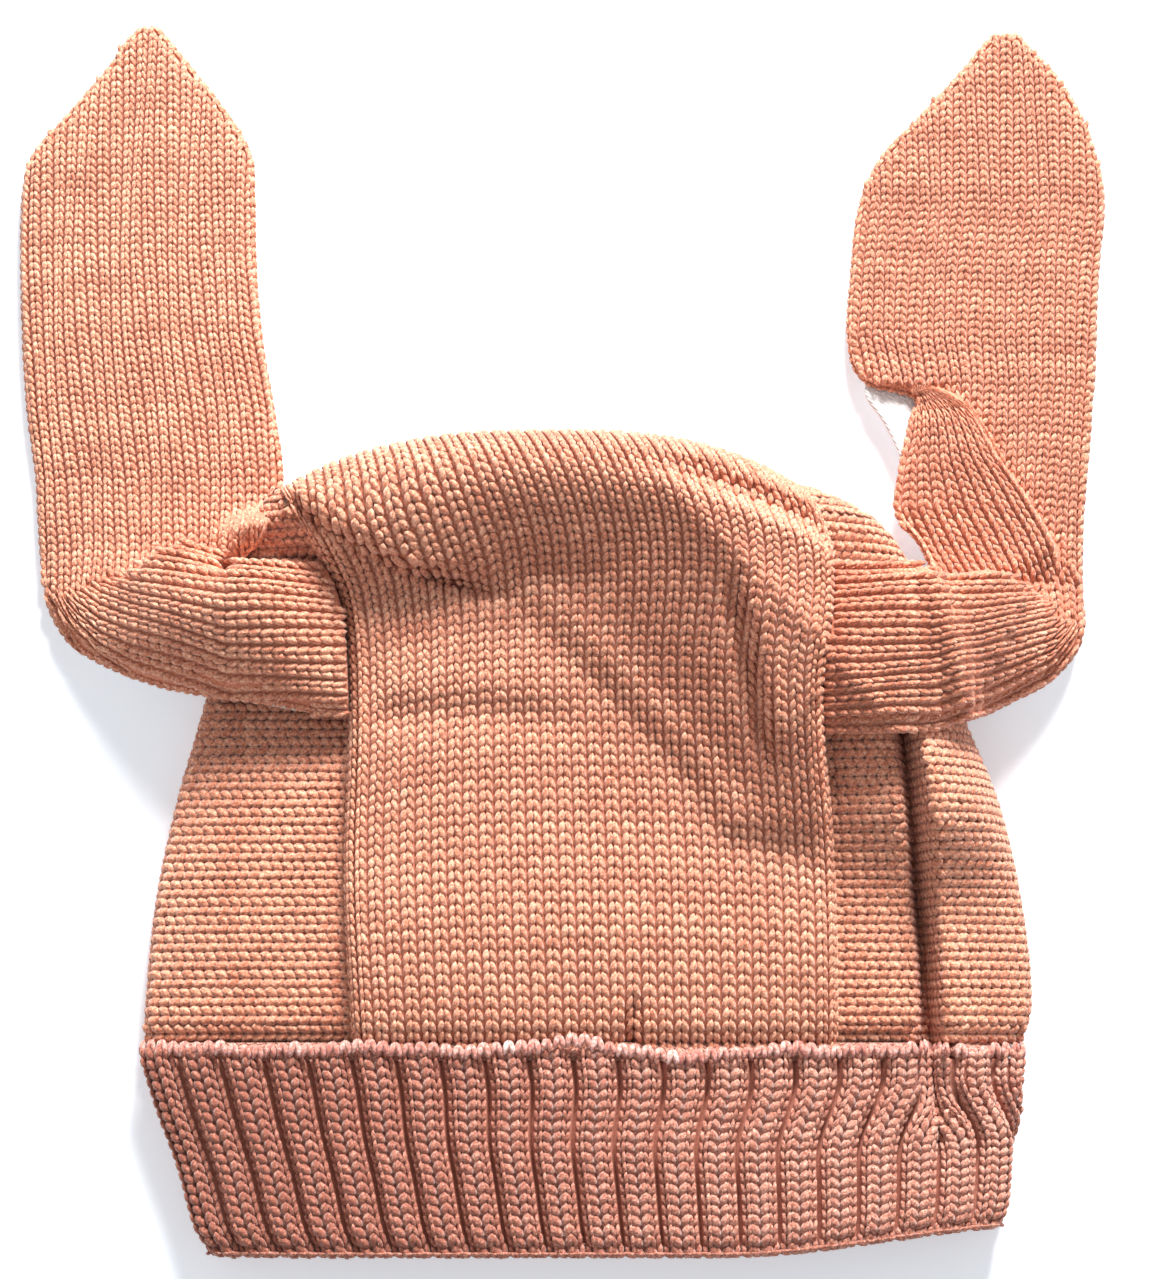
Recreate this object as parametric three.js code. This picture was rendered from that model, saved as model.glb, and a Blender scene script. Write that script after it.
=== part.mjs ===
// A knitted baby hat with two long ears, lying flat on a table with its mouth towards -Y.
// The crown is a centre panel that runs from the front of the band over the top to the back,
// between two side panels. The ears are double: a knitted outer side over a pale lining.
// Millimetres, +Z up, the table at z = 0.
import * as THREE from "three";

// Driving sizes.
const crownWidth = 190; // across the flattened crown, just above the band
const crownLength = 131; // from the linking seam to the top of the crown
const panelWidth = 103; // centre panel, between its two seams
const bandLength = 42.5; // ribbed band, linking seam to mouth
const knitWall = 2.4; // plain knit
const ribWall = 2.2; // ribbed knit, in its grooves
const ribDepth = 1.6; // what a rib stands above its groove
const ribCount = 42;
const bandLoft = 16.5; // height of the flattened hat at the linking seam
const mouthLoft = 14; // height at the mouth
const crownLoft = 39; // height of the slumped roll at the top of the crown
const foldHeight = 6; // height of the side folds' outermost line
const noseHeight = 15; // height of the roll's outermost line
const panelStep = 10; // how far the centre panel's edge stands over a side panel, at most
const edgeRoll = 3.6; // width of the centre panel's turned edges
const seamWidth = 2.4; // linking seam, along the hat
const seamRise = 1.2; // what the linking seam stands proud
const earWidth = 51;
const earStand = 125; // from the inner corner of an ear's bend to its tip
const earWall = 2.1; // outer side of an ear
const liningWall = 1.6; // lining of an ear
const earGap = 0.6; // between the two, at their edges
const earPuff = 7; // hollow height in an ear's folded root
const creaseDepth = 12; // the deepest crease
const seamLap = 0.4; // what a side panel reaches in under the centre panel
const endInset = 1.2; // what a side panel's upper end stays clear of the centre panel
const endThinning = 0.35; // what is left of a side panel's wall at its narrow upper end
const pieceGap = 0.45; // between pieces that are sewn together
const tablePress = 0.3; // what the table takes off the underside's curve

// How square the flattened hat's sections are: exponents, 2 for an ellipse.
const topSquareness = 4;
const noseSquareness = 10;
const underSquareness = 14;
const domeSquareness = 2.6;
const noseZone = { from: 0.75, to: 0.97 }; // where the fold's height grows, shares of the way up

// The ears' shape across, exponents of a section that is 1 in the middle and 0 at the edges.
const archSquareness = 0.7;
const foldEdge = 0.5;
const foldHug = 6; // how closely a side panel's inner wall keeps to its fold, an exponent
const bandRows = [0, 0.14, 0.34, 0.62, 0.93, 1]; // along the band, shares of bandLength
const ribPlaces = [0, 0.2, 0.8]; // across a rib, its groove first
const ribLook = 0.002; // how far either side the band's slope is read, share of the way round
const hemStand = 0.35; // how far the ribs still stand at the very edge of the mouth
const seamPoints = 72;

const cornerSpread = 0.06; // what the inner edge spreads round the bend, share of earWidth

// Outline of the flattened crown: shares of crownLength, and of half of crownWidth.
const crownOutline = [
  { up: 0.0, left: 0.985, right: 0.965 },
  { up: 0.08, left: 0.985, right: 0.995 },
  { up: 0.25, left: 0.965, right: 0.975 },
  { up: 0.4, left: 0.925, right: 0.93 },
  { up: 0.55, left: 0.87, right: 0.85 },
  { up: 0.68, left: 0.825, right: 0.8 },
  { up: 0.78, left: 0.785, right: 0.74 },
  { up: 0.86, left: 0.755, right: 0.65 },
  { up: 0.92, left: 0.7, right: 0.49 },
];
const crownApex = -0.1; // the dome's middle, share of half of crownWidth
const domeReach = 0.62; // share of half of crownWidth
const domeDrop = 0.1; // share of crownLength

// Seams of the centre panel: shares of half of panelWidth.
const panelSeams = [
  { up: 0.0, left: 0.95, right: 1.02 },
  { up: 0.3, left: 0.985, right: 1.01 },
  { up: 0.6, left: 0.975, right: 0.955 },
  { up: 0.78, left: 1.01, right: 1.0 },
  { up: 0.87, left: 1.1, right: 0.99 },
  { up: 1.0, left: 1.27, right: 0.87 },
];

// Height of the top layer along the hat, share of the way from bandLoft to crownLoft,
// and the step down to the side panels, share of panelStep.
const crownHeights = [
  { up: 0.0, rise: 0.0, step: 0.32 },
  { up: 0.15, rise: 0.17, step: 0.34 },
  { up: 0.35, rise: 0.34, step: 0.4 },
  { up: 0.5, rise: 0.36, step: 0.6 },
  { up: 0.62, rise: 0.42, step: 0.95 },
  { up: 0.72, rise: 0.6, step: 1.0 },
  { up: 0.82, rise: 0.9, step: 0.95 },
  { up: 0.9, rise: 1.0, step: 0.4 },
  { up: 1.0, rise: 1.0, step: 0.0 },
];

// Folds and creases. Each runs from one point to another, shares of half of crownWidth and of
// crownLength. Depth and lip are shares of creaseDepth, width, reach and lean of earWidth.
// The lip is on the left of the way from start to end, and leans over the crease.
const panelFolds = [
  {
    x0: -0.6, y0: 0.86, x1: -0.06, y1: 0.72,
    depth: 1.0, lip: 0.3, width: 0.1, reach: 0.3, lean: 0.06,
    fadeIn: 0.05, fadeOut: 0.6,
  },
  {
    x0: -0.42, y0: 0.55, x1: 0.2, y1: 0.53,
    depth: 0.22, lip: 0.05, width: 0.08, reach: 0.15, lean: 0,
    fadeIn: 0.3, fadeOut: 0.3,
  },
  {
    x0: 0.06, y0: 0.6, x1: 0.3, y1: 0.3,
    depth: 0.3, lip: 0.12, width: 0.1, reach: 0.3, lean: 0,
    fadeIn: 0.3, fadeOut: 0.4,
  },
  {
    x0: 0.36, y0: 0.8, x1: 0.42, y1: 0.46,
    depth: 0.28, lip: 0.05, width: 0.07, reach: 0.15, lean: 0,
    fadeIn: 0.3, fadeOut: 0.3,
  },
];
const rightPleat = [
  {
    x0: 0.755, y0: 0.0, x1: 0.7, y1: 0.56,
    depth: 0.7, lip: 0.1, width: 0.065, reach: 0.12, lean: 0,
    fadeIn: 0.01, fadeOut: 0.1,
  },
];
const bandPleat = [
  {
    x0: 0.755, y0: 0.02, x1: 0.79, y1: -0.19,
    depth: 0.62, lip: 0.05, width: 0.065, reach: 0.12, lean: 0,
    fadeIn: 0.01, fadeOut: 0.8,
  },
];

// Outline of the band: shares of bandLength and of half of crownWidth.
const bandOutline = [
  { down: 0.0, left: 0.985, right: 0.96 },
  { down: 0.25, left: 0.95, right: 0.95 },
  { down: 0.55, left: 0.9, right: 0.94 },
  { down: 0.83, left: 0.865, right: 0.93 },
  { down: 1.0, left: 0.83, right: 0.915 },
];
const mouthSkew = 0.15; // the mouth's right end is drawn up by this share of bandLength

// The ears. Root rows run from the panel seam (run 0) to the bend's inner corner (run 1).
// Bend rows give the outer edge, and stand rows both edges, from that corner: out and across in
// shares of earWidth, up in shares of earStand. Lift is the height of the lining's underside at
// the inner and outer edge, in shares of panelStep. Puff is a share of earPuff.
const leftEar = {
  side: -1,
  corner: 0.775,
  offset: 0.03,
  root: [
    { run: 0.0, inner: 0.02, outer: -0.6, puff: 0.4 },
    { run: 0.25, inner: 0.03, outer: -0.59, puff: 0.62 },
    { run: 0.55, inner: 0.03, outer: -0.56, liftIn: 1.6, liftOut: 1.5, puff: 0.85 },
    { run: 0.9, inner: 0.02, outer: -0.52, liftIn: 1.6, liftOut: 1.45, puff: 0.95, splay: 0.12 },
  ],
  bend: [
    { across: 0.29, up: -0.47, liftIn: 1.5, liftOut: 1.2, puff: 1.0 },
    { across: 0.52, up: -0.38, liftIn: 1.25, liftOut: 0.8, puff: 0.95, bow: 0.02 },
    { across: 0.7, up: -0.27, liftIn: 1.0, liftOut: 0.4, puff: 0.85, bow: 0.05 },
    { across: 0.79, up: -0.14, liftIn: 0.75, liftOut: 0.1, puff: 0.7, bow: 0.1 },
    { across: 0.82, up: -0.02, liftIn: 0.5, liftOut: 0.0, puff: 0.45, bow: 0.14 },
  ],
  stand: [
    { up: 0.055, inner: 0.0, outer: 0.84, liftIn: 0.25, puff: 0.2 },
    { up: 0.12, inner: -0.05, outer: 0.855, liftIn: 0.1, puff: 0.16 },
    { up: 0.18, inner: -0.17, outer: 0.865, puff: 0.16 },
    { up: 0.3, inner: -0.13, outer: 0.91, puff: 0.2 },
    { up: 0.44, inner: -0.07, outer: 0.94, puff: 0.2 },
    { up: 0.58, inner: -0.04, outer: 0.955, puff: 0.2 },
    { up: 0.7, inner: -0.03, outer: 0.955, puff: 0.2 },
    { up: 0.765, inner: -0.015, outer: 0.92, puff: 0.2 },
    { up: 0.84, inner: 0.09, outer: 0.77, puff: 0.16 },
    { up: 0.92, inner: 0.24, outer: 0.61, puff: 0.12 },
    { up: 0.975, inner: 0.35, outer: 0.52, puff: 0.06 },
    { up: 1.0, inner: 0.4, outer: 0.46, puff: 0.0 },
  ],
  folds: [
    {
      x0: -0.04, y0: 0.02, x1: 0.42, y1: 0.13, x2: 0.86, y2: -0.1,
      depth: 0, lip: 0.62, width: 0.07, reach: 0.3, lean: 0.05,
      fadeIn: 0.12, fadeOut: 0.45, flip: 1,
    },
  ],
};
const rightEar = {
  side: 1,
  corner: 0.765,
  offset: 0.05,
  root: [
    { run: 0.0, inner: 0.02, outer: -0.67, puff: 0.35 },
    { run: 0.25, inner: 0.02, outer: -0.67, puff: 0.6 },
    { run: 0.6, inner: 0.02, outer: -0.67, liftIn: 1.6, liftOut: 1.5, puff: 0.9 },
    { run: 0.9, inner: 0.01, outer: -0.65, liftIn: 1.6, liftOut: 1.5, puff: 1.0 },
  ],
  bend: [
    { across: 0.14, up: -0.6, liftIn: 1.6, liftOut: 1.35, puff: 1.1 },
    { across: 0.32, up: -0.51, liftIn: 1.4, liftOut: 1.0, puff: 1.1 },
    { across: 0.5, up: -0.41, liftIn: 1.2, liftOut: 0.65, puff: 1.05 },
    { across: 0.62, up: -0.28, liftIn: 1.0, liftOut: 0.4, puff: 0.95 },
    { across: 0.66, up: -0.16, liftIn: 0.85, liftOut: 0.2, puff: 0.8 },
    { across: 0.655, up: -0.05, liftIn: 0.75, liftOut: 0.1, puff: 0.5 },
  ],
  stand: [
    { up: 0.06, inner: -0.03, outer: 0.66, liftIn: 0.6, puff: 0.25 },
    { up: 0.13, inner: -0.12, outer: 0.67, liftIn: 0.55, puff: 0.25 },
    { up: 0.21, inner: -0.1, outer: 0.69, liftIn: 0.5, puff: 0.25 },
    { up: 0.285, inner: -0.06, outer: 0.71, liftIn: 0.45, puff: 0.25, peekIn: 0.07 },
    { up: 0.335, inner: -0.04, outer: 0.72, liftIn: 0.4, puff: 0.2, peekIn: 0.17 },
    { up: 0.365, inner: -0.25, outer: 0.73, liftIn: 0.3, puff: 0.3 },
    { up: 0.44, inner: -0.31, outer: 0.74, liftIn: 0.1, puff: 0.25 },
    { up: 0.57, inner: -0.29, outer: 0.76, puff: 0.2 },
    { up: 0.69, inner: -0.25, outer: 0.79, puff: 0.2 },
    { up: 0.77, inner: -0.16, outer: 0.765, puff: 0.18 },
    { up: 0.84, inner: 0.0, outer: 0.71, puff: 0.14, peekOut: 0.02 },
    { up: 0.92, inner: 0.18, outer: 0.6, puff: 0.1, peekOut: 0.03 },
    { up: 0.975, inner: 0.29, outer: 0.48, puff: 0.05, peekOut: 0.03 },
    { up: 1.0, inner: 0.35, outer: 0.43, puff: 0.0 },
  ],
  folds: [
    {
      x0: -0.06, y0: -0.01, x1: 0.3, y1: 0.02, x2: 0.6, y2: -0.02,
      depth: 0, lip: 0.6, width: 0.07, reach: 0.26, lean: 0.04,
      fadeIn: 0.1, fadeOut: 0.35, flip: 1,
    },
    {
      x0: 0.14, y0: 0.92, x1: 0.34, y1: 0.47, x2: 0.64, y2: 0.04,
      depth: 0, lip: 0.45, width: 0.08, reach: 0.36, lean: 0.03,
      fadeIn: 0.3, fadeOut: 0.15, flip: 1,
    },
  ],
};

const halfCrown = crownWidth / 2;
const halfPanel = panelWidth / 2;
const { clamp, lerp, smoothstep } = THREE.MathUtils;

// A table's column at a place on its key column, on a smooth curve through the rows.
function readTable(rows, key, place, column) {
  const last = rows.length - 1;
  const value = (i) => rows[clamp(i, 0, last)][column] ?? 0;
  const at = (i) => rows[clamp(i, 0, last)][key];
  if (place <= at(0)) return value(0);
  if (place >= at(last)) return value(last);
  let i = 0;
  while (at(i + 1) < place) i++;
  const span = at(i + 1) - at(i);
  const t = (place - at(i)) / span;
  const slopeAt = (j) => {
    const wide = at(j + 1) - at(j - 1);
    return wide > 0 ? ((value(j + 1) - value(j - 1)) / wide) * span : 0;
  };
  const t2 = t * t;
  const t3 = t2 * t;
  return (
    (2 * t3 - 3 * t2 + 1) * value(i) +
    (t3 - 2 * t2 + t) * slopeAt(i) +
    (3 * t2 - 2 * t3) * value(i + 1) +
    (t3 - t2) * slopeAt(i + 1)
  );
}

// How a table of folds moves the point x, y. The fold may bend at a middle point.
function foldShift(folds, x, y, scaleX, scaleY) {
  const shift = new THREE.Vector3();
  for (const fold of folds) {
    const ends = [new THREE.Vector2(fold.x0 * scaleX, fold.y0 * scaleY)];
    ends.push(new THREE.Vector2(fold.x1 * scaleX, fold.y1 * scaleY));
    if ("x2" in fold) ends.push(new THREE.Vector2(fold.x2 * scaleX, fold.y2 * scaleY));
    const point = new THREE.Vector2(x, y);
    const whole = ends.slice(1).reduce((sum, end, i) => sum + end.distanceTo(ends[i]), 0);
    let nearest = null;
    let done = 0;
    for (let i = 0; i + 1 < ends.length; i++) {
      const way = ends[i + 1].clone().sub(ends[i]);
      const length = way.length();
      way.divideScalar(length);
      const from = point.clone().sub(ends[i]);
      const onWay = clamp(from.dot(way), 0, length);
      const away = from.clone().sub(way.clone().multiplyScalar(onWay)).length();
      const across = way.x * from.y - way.y * from.x;
      if (!nearest || away < nearest.away) {
        nearest = { away, across, share: (done + onWay) / whole, way };
      }
      done += length;
    }
    const side = fold.flip ? -1 : 1;
    const width = fold.width * earWidth;
    const reach = fold.reach * earWidth;
    const signed = side * Math.sign(nearest.across) * nearest.away;
    const fadeOut = 1 - smoothstep(nearest.share, 1 - fold.fadeOut, 1);
    const fade = smoothstep(nearest.share, 0, fold.fadeIn) * fadeOut;
    const lip = smoothstep(signed, -width, width) * Math.exp(-((Math.max(signed, 0) / reach) ** 2));
    const crease = Math.exp(-((nearest.away / width) ** 2));
    shift.z += creaseDepth * fade * (fold.lip * lip - fold.depth * crease);
    const lean = -side * fold.lean * earWidth * fade * lip;
    shift.x += lean * -nearest.way.y;
    shift.y += lean * nearest.way.x;
  }
  return shift;
}

// The crown's outline and heights.
const outlineX = (side, y) =>
  side * halfCrown * readTable(crownOutline, "up", y / crownLength, side < 0 ? "left" : "right");
const seamX = (side, share) =>
  side * halfPanel * readTable(panelSeams, "up", share, side < 0 ? "left" : "right");
const domeY = (x) => {
  const away = Math.abs((x / halfCrown - crownApex) / domeReach);
  return crownLength * (1 - domeDrop * away ** domeSquareness);
};
const stepAt = (share) => panelStep * readTable(crownHeights, "up", share, "step");
const panelStart = seamWidth / 2 + pieceGap;
const panelShare = (side, y) => (y - panelStart) / (domeY(seamX(side, 1)) - panelStart);
const seamAt = (side, y) => seamX(side, panelShare(side, y));

function rimAt(x, y) {
  const left = outlineX(-1, y);
  const right = outlineX(1, y);
  const across = clamp(Math.abs((2 * x - left - right) / (right - left)), 0, 1);
  const along = clamp(y / domeY(clamp(x, seamX(-1, 1), seamX(1, 1))), 0, 1);
  return { across, along, height: lerp(foldHeight, noseHeight, smoothstep(along, noseZone.from, noseZone.to)) };
}

function bodyTop(x, y) {
  const rim = rimAt(x, y);
  const loft = lerp(bandLoft, crownLoft, readTable(crownHeights, "up", y / crownLength, "rise"));
  const round = Math.sqrt((1 - rim.across ** topSquareness) * (1 - rim.along ** noseSquareness));
  return rim.height + (loft - rim.height) * round;
}

function bodyUnder(x, y) {
  const rim = rimAt(x, y);
  const flat = Math.sqrt((1 - rim.across ** underSquareness) * (1 - rim.along ** underSquareness));
  return Math.max(0, rim.height * (1 - flat) - tablePress);
}

// Top of a side panel, which lies a step lower than the centre panel.
function sideTop(side, x, y) {
  const seam = seamAt(side, y);
  const out = clamp((x - seam) / (outlineX(side, y) - seam), 0, 1);
  const pleat = side > 0 ? foldShift(rightPleat, x, y, halfCrown, crownLength).z : 0;
  const floor = foldHeight + knitWall;
  const level = bodyTop(x, y) - stepAt(panelShare(side, y)) * (1 - out * out) - 2 * pieceGap + pleat;
  return Math.max(Math.min(floor, bodyTop(x, y)), level);
}

// The grid one wall inside a grid of outer points, square to the surface. Its sewn end stays in line.
function insideOf(outer, wall, around = false) {
  const rows = outer.length;
  const columns = outer[0].length;
  const wrap = (c) => (around ? (c + columns) % columns : clamp(c, 0, columns - 1));
  const pick = (r, c) => outer[clamp(r, 0, rows - 1)][wrap(c)];
  const inner = outer.map((row, r) =>
    row.map((point, c) => {
      const along = pick(r + 1, c).clone().sub(pick(r - 1, c));
      const across = pick(r, c + 1).clone().sub(pick(r, c - 1));
      return point.clone().addScaledVector(across.cross(along).normalize(), -wall);
    }),
  );
  inner[0].forEach((point, c) => point.setY(outer[0][c].y));
  return inner;
}

// A closed solid between a grid of outer points and the matching grid one wall further in.
function shell(outer, inner, around = false) {
  const rows = outer.length;
  const columns = outer[0].length;
  const positions = [...outer, ...inner].flat().flatMap((p) => [p.x, p.y, p.z]);
  const index = [];
  const under = rows * columns;
  const flat = outer.flat();
  // Four corners in turn; the quad is split along its shorter diagonal.
  const quad = (a, b, c, d) => {
    const [p, q, r, s] = [a, b, c, d].map((i) => flat[i % under]);
    if (p.distanceTo(r) <= q.distanceTo(s)) index.push(a, b, c, a, c, d);
    else index.push(a, b, d, b, c, d);
  };
  const spans = around ? columns : columns - 1;
  for (let r = 0; r + 1 < rows; r++) {
    for (let c = 0; c < spans; c++) {
      const next = (c + 1) % columns;
      const [a, b] = [r * columns + c, r * columns + next];
      const [d, e] = [a + columns, b + columns];
      quad(a, b, e, d);
      quad(under + a, under + d, under + e, under + b);
    }
  }
  const last = (rows - 1) * columns;
  for (let c = 0; c < spans; c++) {
    const next = (c + 1) % columns;
    quad(c, under + c, under + next, next);
    quad(last + c, last + next, under + last + next, under + last + c);
  }
  if (!around) {
    for (let r = 0; r + 1 < rows; r++) {
      const [a, b] = [r * columns, (r + 1) * columns];
      const [c, d] = [a + columns - 1, b + columns - 1];
      quad(a, b, under + b, under + a);
      quad(c, under + c, under + d, d);
    }
  }
  const geometry = new THREE.BufferGeometry();
  geometry.setAttribute("position", new THREE.Float32BufferAttribute(positions, 3));
  geometry.setIndex(index);
  geometry.computeVertexNormals();
  return geometry;
}

const steps = (count) => Array.from({ length: count + 1 }, (_, i) => i / count);
const towardsRim = (share) => Math.sin((share * Math.PI) / 2);

// Centre panel: up the top layer, round the roll, and back along the table.
function centrePanel() {
  const rollShare = edgeRoll / panelWidth;
  const rollTurns = [1, 2 / 3, 1 / 3].map((turn) => (turn * Math.PI) / 2);
  const flatColumns = steps(15).map((share) => ({ at: lerp(rollShare, 1 - rollShare, share), turn: 0 }));
  const rolled = (side) =>
    rollTurns.map((turn) => {
      const inset = rollShare * (1 - Math.sin(turn));
      return { at: side < 0 ? inset : 1 - inset, turn };
    });
  const columns = [...rolled(-1), ...flatColumns, ...rolled(1).reverse()];
  const shares = [
    ...steps(24).map((share) => ({ share: towardsRim(share), top: true })),
    ...steps(7)
      .reverse()
      .slice(1)
      .map((share) => ({ share: towardsRim(share), top: false })),
  ];
  const outer = shares.map(({ share, top }) =>
    columns.map(({ at, turn }) => {
      const endX = lerp(seamX(-1, 1), seamX(1, 1), at);
      const x = lerp(seamX(-1, share), seamX(1, share), at);
      const y = lerp(panelStart, domeY(endX), share);
      if (!top) return new THREE.Vector3(x, y, bodyUnder(x, y));
      const level = bodyTop(x, y) - stepAt(share) * (1 - Math.cos(turn));
      const shift = foldShift(panelFolds, x, y, halfCrown, crownLength);
      const calm = smoothstep(1 - share, 0, 0.1) * Math.cos(turn);
      return new THREE.Vector3(x, y, level).addScaledVector(shift, calm);
    }),
  );
  return shell(outer, insideOf(outer, knitWall));
}

// Where a side panel's points lie across. The right one has some that follow its pleat.
function columnsAt(side, y, edge, out) {
  if (side < 0) return steps(9).map((t) => lerp(edge, out, towardsRim(t)));
  const pleat = rightPleat[0];
  const line = halfCrown * lerp(pleat.x0, pleat.x1, y / crownLength / pleat.y1);
  const middle = clamp(line, lerp(edge, out, 0.3), lerp(edge, out, 0.7));
  const near = Math.min(pleat.width * earWidth, (out - edge) / 5);
  return [
    ...steps(4).slice(0, -1).map((t) => lerp(edge, middle - 1.2 * near, t)),
    ...[-1.2, -0.6, 0, 0.6].map((t) => middle + t * near),
    ...steps(5).map((t) => lerp(middle + 1.2 * near, out, towardsRim(t))),
  ];
}

// Side panel: from under the centre panel's edge out over the side, round the fold, and back.
function sidePanel(side) {
  const panelEnd = side < 0 ? 0.88 : 0.885;
  const layer = (wall) =>
    steps(15).map((share) => {
      const y = lerp(panelStart, panelEnd * crownLength, share);
      const closing = smoothstep(share, 0.75, 1);
      const inset = wall * lerp(1, endThinning, closing);
      const seam = seamAt(side, y);
      const out = outlineX(side, y);
      const rim = rimAt(out, y).height;
      const edge = seam - side * lerp(seamLap, -endInset, closing);
      const inward = (x) => x - side * inset * Math.max(0, (x - edge) / (out - edge)) ** foldHug;
      const top = columnsAt(side, y, edge, out).map((x) => {
        return new THREE.Vector3(inward(x), y, x === out ? rim : sideTop(side, x, y) - inset);
      });
      const underEdge = seam + side * lerp(2 * pieceGap, endInset, closing);
      const under = steps(6)
        .slice(0, -1)
        .reverse()
        .map((t) => {
          const x = lerp(underEdge, out, towardsRim(t));
          return new THREE.Vector3(inward(x), y, Math.min(rim, bodyUnder(x, y) + inset));
        });
      const row = [...top, ...under];
      return side < 0 ? row.reverse() : row;
    });
  return shell(layer(0), layer(knitWall));
}

// One ring round the flattened hat, as evenly spaced points of a closed loop.
function ring(left, right, loft, floor, pleatAt) {
  const turns = 240;
  const loop = steps(turns).map((share) => {
    const angle = share * 2 * Math.PI;
    const across = -Math.cos(angle);
    const x = lerp(left, right, (across + 1) / 2);
    const over = Math.sin(angle) >= 0;
    const round = Math.sqrt(Math.max(0, 1 - across ** (over ? topSquareness : underSquareness)));
    const z = over ? foldHeight + (loft - foldHeight) * round : foldHeight - (foldHeight - floor) * round;
    return new THREE.Vector2(x, over ? z + pleatAt(x) : z);
  });
  const length = [0];
  loop.slice(1).forEach((point, i) => length.push(length[i] + point.distanceTo(loop[i])));
  const total = length[turns];
  return (place) => {
    const wanted = (place - Math.floor(place)) * total;
    let i = 0;
    while (i + 2 < length.length && length[i + 1] < wanted) i++;
    const t = (wanted - length[i]) / (length[i + 1] - length[i]);
    return loop[i].clone().lerp(loop[i + 1], t);
  };
}

// Ribbed band: a tube of ribs, open at both ends.
function ribbedBand() {
  const start = -seamWidth / 2 - pieceGap;
  const outer = bandRows.map((down) => {
    const y = start - down * (bandLength + start);
    const half = (column) => halfCrown * readTable(bandOutline, "down", down, column);
    const loft = lerp(bandLoft, mouthLoft, down) - ribDepth;
    const pleatAt = (x) => foldShift(bandPleat, x, y, halfCrown, crownLength).z;
    const place = ring(-half("left"), half("right"), loft, ribDepth, pleatAt);
    const row = [];
    for (let rib = 0; rib < ribCount; rib++) {
      for (const part of ribPlaces) {
        const share = (rib + part) / ribCount;
        const at = place(share);
        const ahead = place(share + ribLook).sub(place(share - ribLook)).normalize();
        const stand = part === 0 ? 0 : ribDepth * (down === 1 ? hemStand : 1);
        const x = at.x - ahead.y * stand;
        const drawnUp = 1 - mouthSkew * smoothstep(x / halfCrown, 0.3, 1);
        row.push(new THREE.Vector3(x, start + (y - start) * drawnUp, Math.max(0, at.y + ahead.x * stand)));
      }
    }
    return row.reverse();
  });
  return shell(outer, insideOf(outer, ribWall, true), true);
}

// Linking seam: the raised ring that joins the band to the crown.
function linkingSeam() {
  const pleatAt = (x) => foldShift(bandPleat, x, 0, halfCrown, crownLength).z;
  const { left, right } = crownOutline[0];
  const layer = (inset) =>
    [-1, 0, 1].map((end) => {
      const stand = (end === 0 ? seamRise : 0) - inset;
      const low = Math.max(0, -stand);
      const place = ring(-halfCrown * left - stand, halfCrown * right + stand, bandLoft + stand, low, pleatAt);
      return steps(seamPoints)
        .slice(0, -1)
        .map((share) => {
          const at = place(share);
          return new THREE.Vector3(at.x, (end * seamWidth) / 2, at.y);
        });
    });
  return shell(layer(0), layer(ribWall), true);
}

// Rows of an ear from root to tip: both edges in plan, heights and puff.
function earRows(ear) {
  const { side } = ear;
  const cornerY = ear.corner * crownLength;
  const cornerX = outlineX(side, cornerY) + side * ear.offset * earWidth;
  const rows = [];
  for (const row of ear.root) {
    const place = (across, splay) => {
      const y = cornerY + across * earWidth;
      const seam = seamAt(side, y) + side * pieceGap * 2;
      return new THREE.Vector2(lerp(seam, cornerX, row.run) + side * splay * earWidth, y);
    };
    rows.push({ inner: place(row.inner, 0), outer: place(row.outer, row.splay ?? 0), ...pickHeights(row) });
  }
  for (const row of ear.bend) {
    rows.push({
      inner: new THREE.Vector2(cornerX, cornerY),
      outer: new THREE.Vector2(cornerX + side * row.across * earWidth, cornerY + row.up * earWidth),
      ...pickHeights(row),
    });
  }
  for (const row of ear.stand) {
    const y = cornerY + row.up * earStand;
    rows.push({
      inner: new THREE.Vector2(cornerX + side * row.inner * earWidth, y),
      outer: new THREE.Vector2(cornerX + side * row.outer * earWidth, y),
      ...pickHeights(row),
    });
  }
  // The inner edge spreads a little along the bend, so that no two rows share a point.
  const first = ear.root.length;
  const spread = cornerSpread * earWidth;
  ear.bend.forEach((_, i) => {
    const t = (i + 1) / (ear.bend.length + 1);
    rows[first + i].inner.x += side * spread * Math.sin(t * Math.PI) * 0.6;
    rows[first + i].inner.y += spread * (t - 0.5);
  });
  return { rows, cornerX, cornerY };
}

const pickHeights = (row) => ({
  liftIn: row.liftIn ?? 0,
  liftOut: row.liftOut ?? 0,
  puff: row.puff,
  bow: row.bow ?? 0,
  peekIn: row.peekIn ?? 0,
  peekOut: row.peekOut ?? 0,
});

// One point of an ear's lining underside, kept clear of the crown.
function earFloor(ear, row, u) {
  const { side } = ear;
  const x = lerp(row.inner.x, row.outer.x, u);
  const bow = row.bow * earWidth * Math.sin(Math.PI * u) * (1 - 1.4 * u);
  const y = lerp(row.inner.y, row.outer.y, u) + bow;
  const lift = lerp(row.liftIn, row.liftOut, u) * panelStep;
  const onCrown = y < crownLength * 0.9 && side * x < side * outlineX(side, y) + 0.3;
  const bodyX = side * Math.min(side * x, side * outlineX(side, y));
  const clear = onCrown ? sideTop(side, bodyX, y) + pieceGap * 3 : 0;
  return new THREE.Vector3(x, y, Math.max(lift, clear, 0));
}

function earSheet(ear, columns, wall, raise) {
  const { rows, cornerX, cornerY } = earRows(ear);
  const outer = rows.map((row) =>
    steps(columns).map((u) => {
      const at = ear.side < 0 ? 1 - u : u;
      return raise(earFloor(ear, row, at), row, at, cornerX, cornerY);
    }),
  );
  const inner = outer.map((row) => row.map((point) => point.clone().setZ(point.z - wall)));
  return shell(outer, inner);
}

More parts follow.
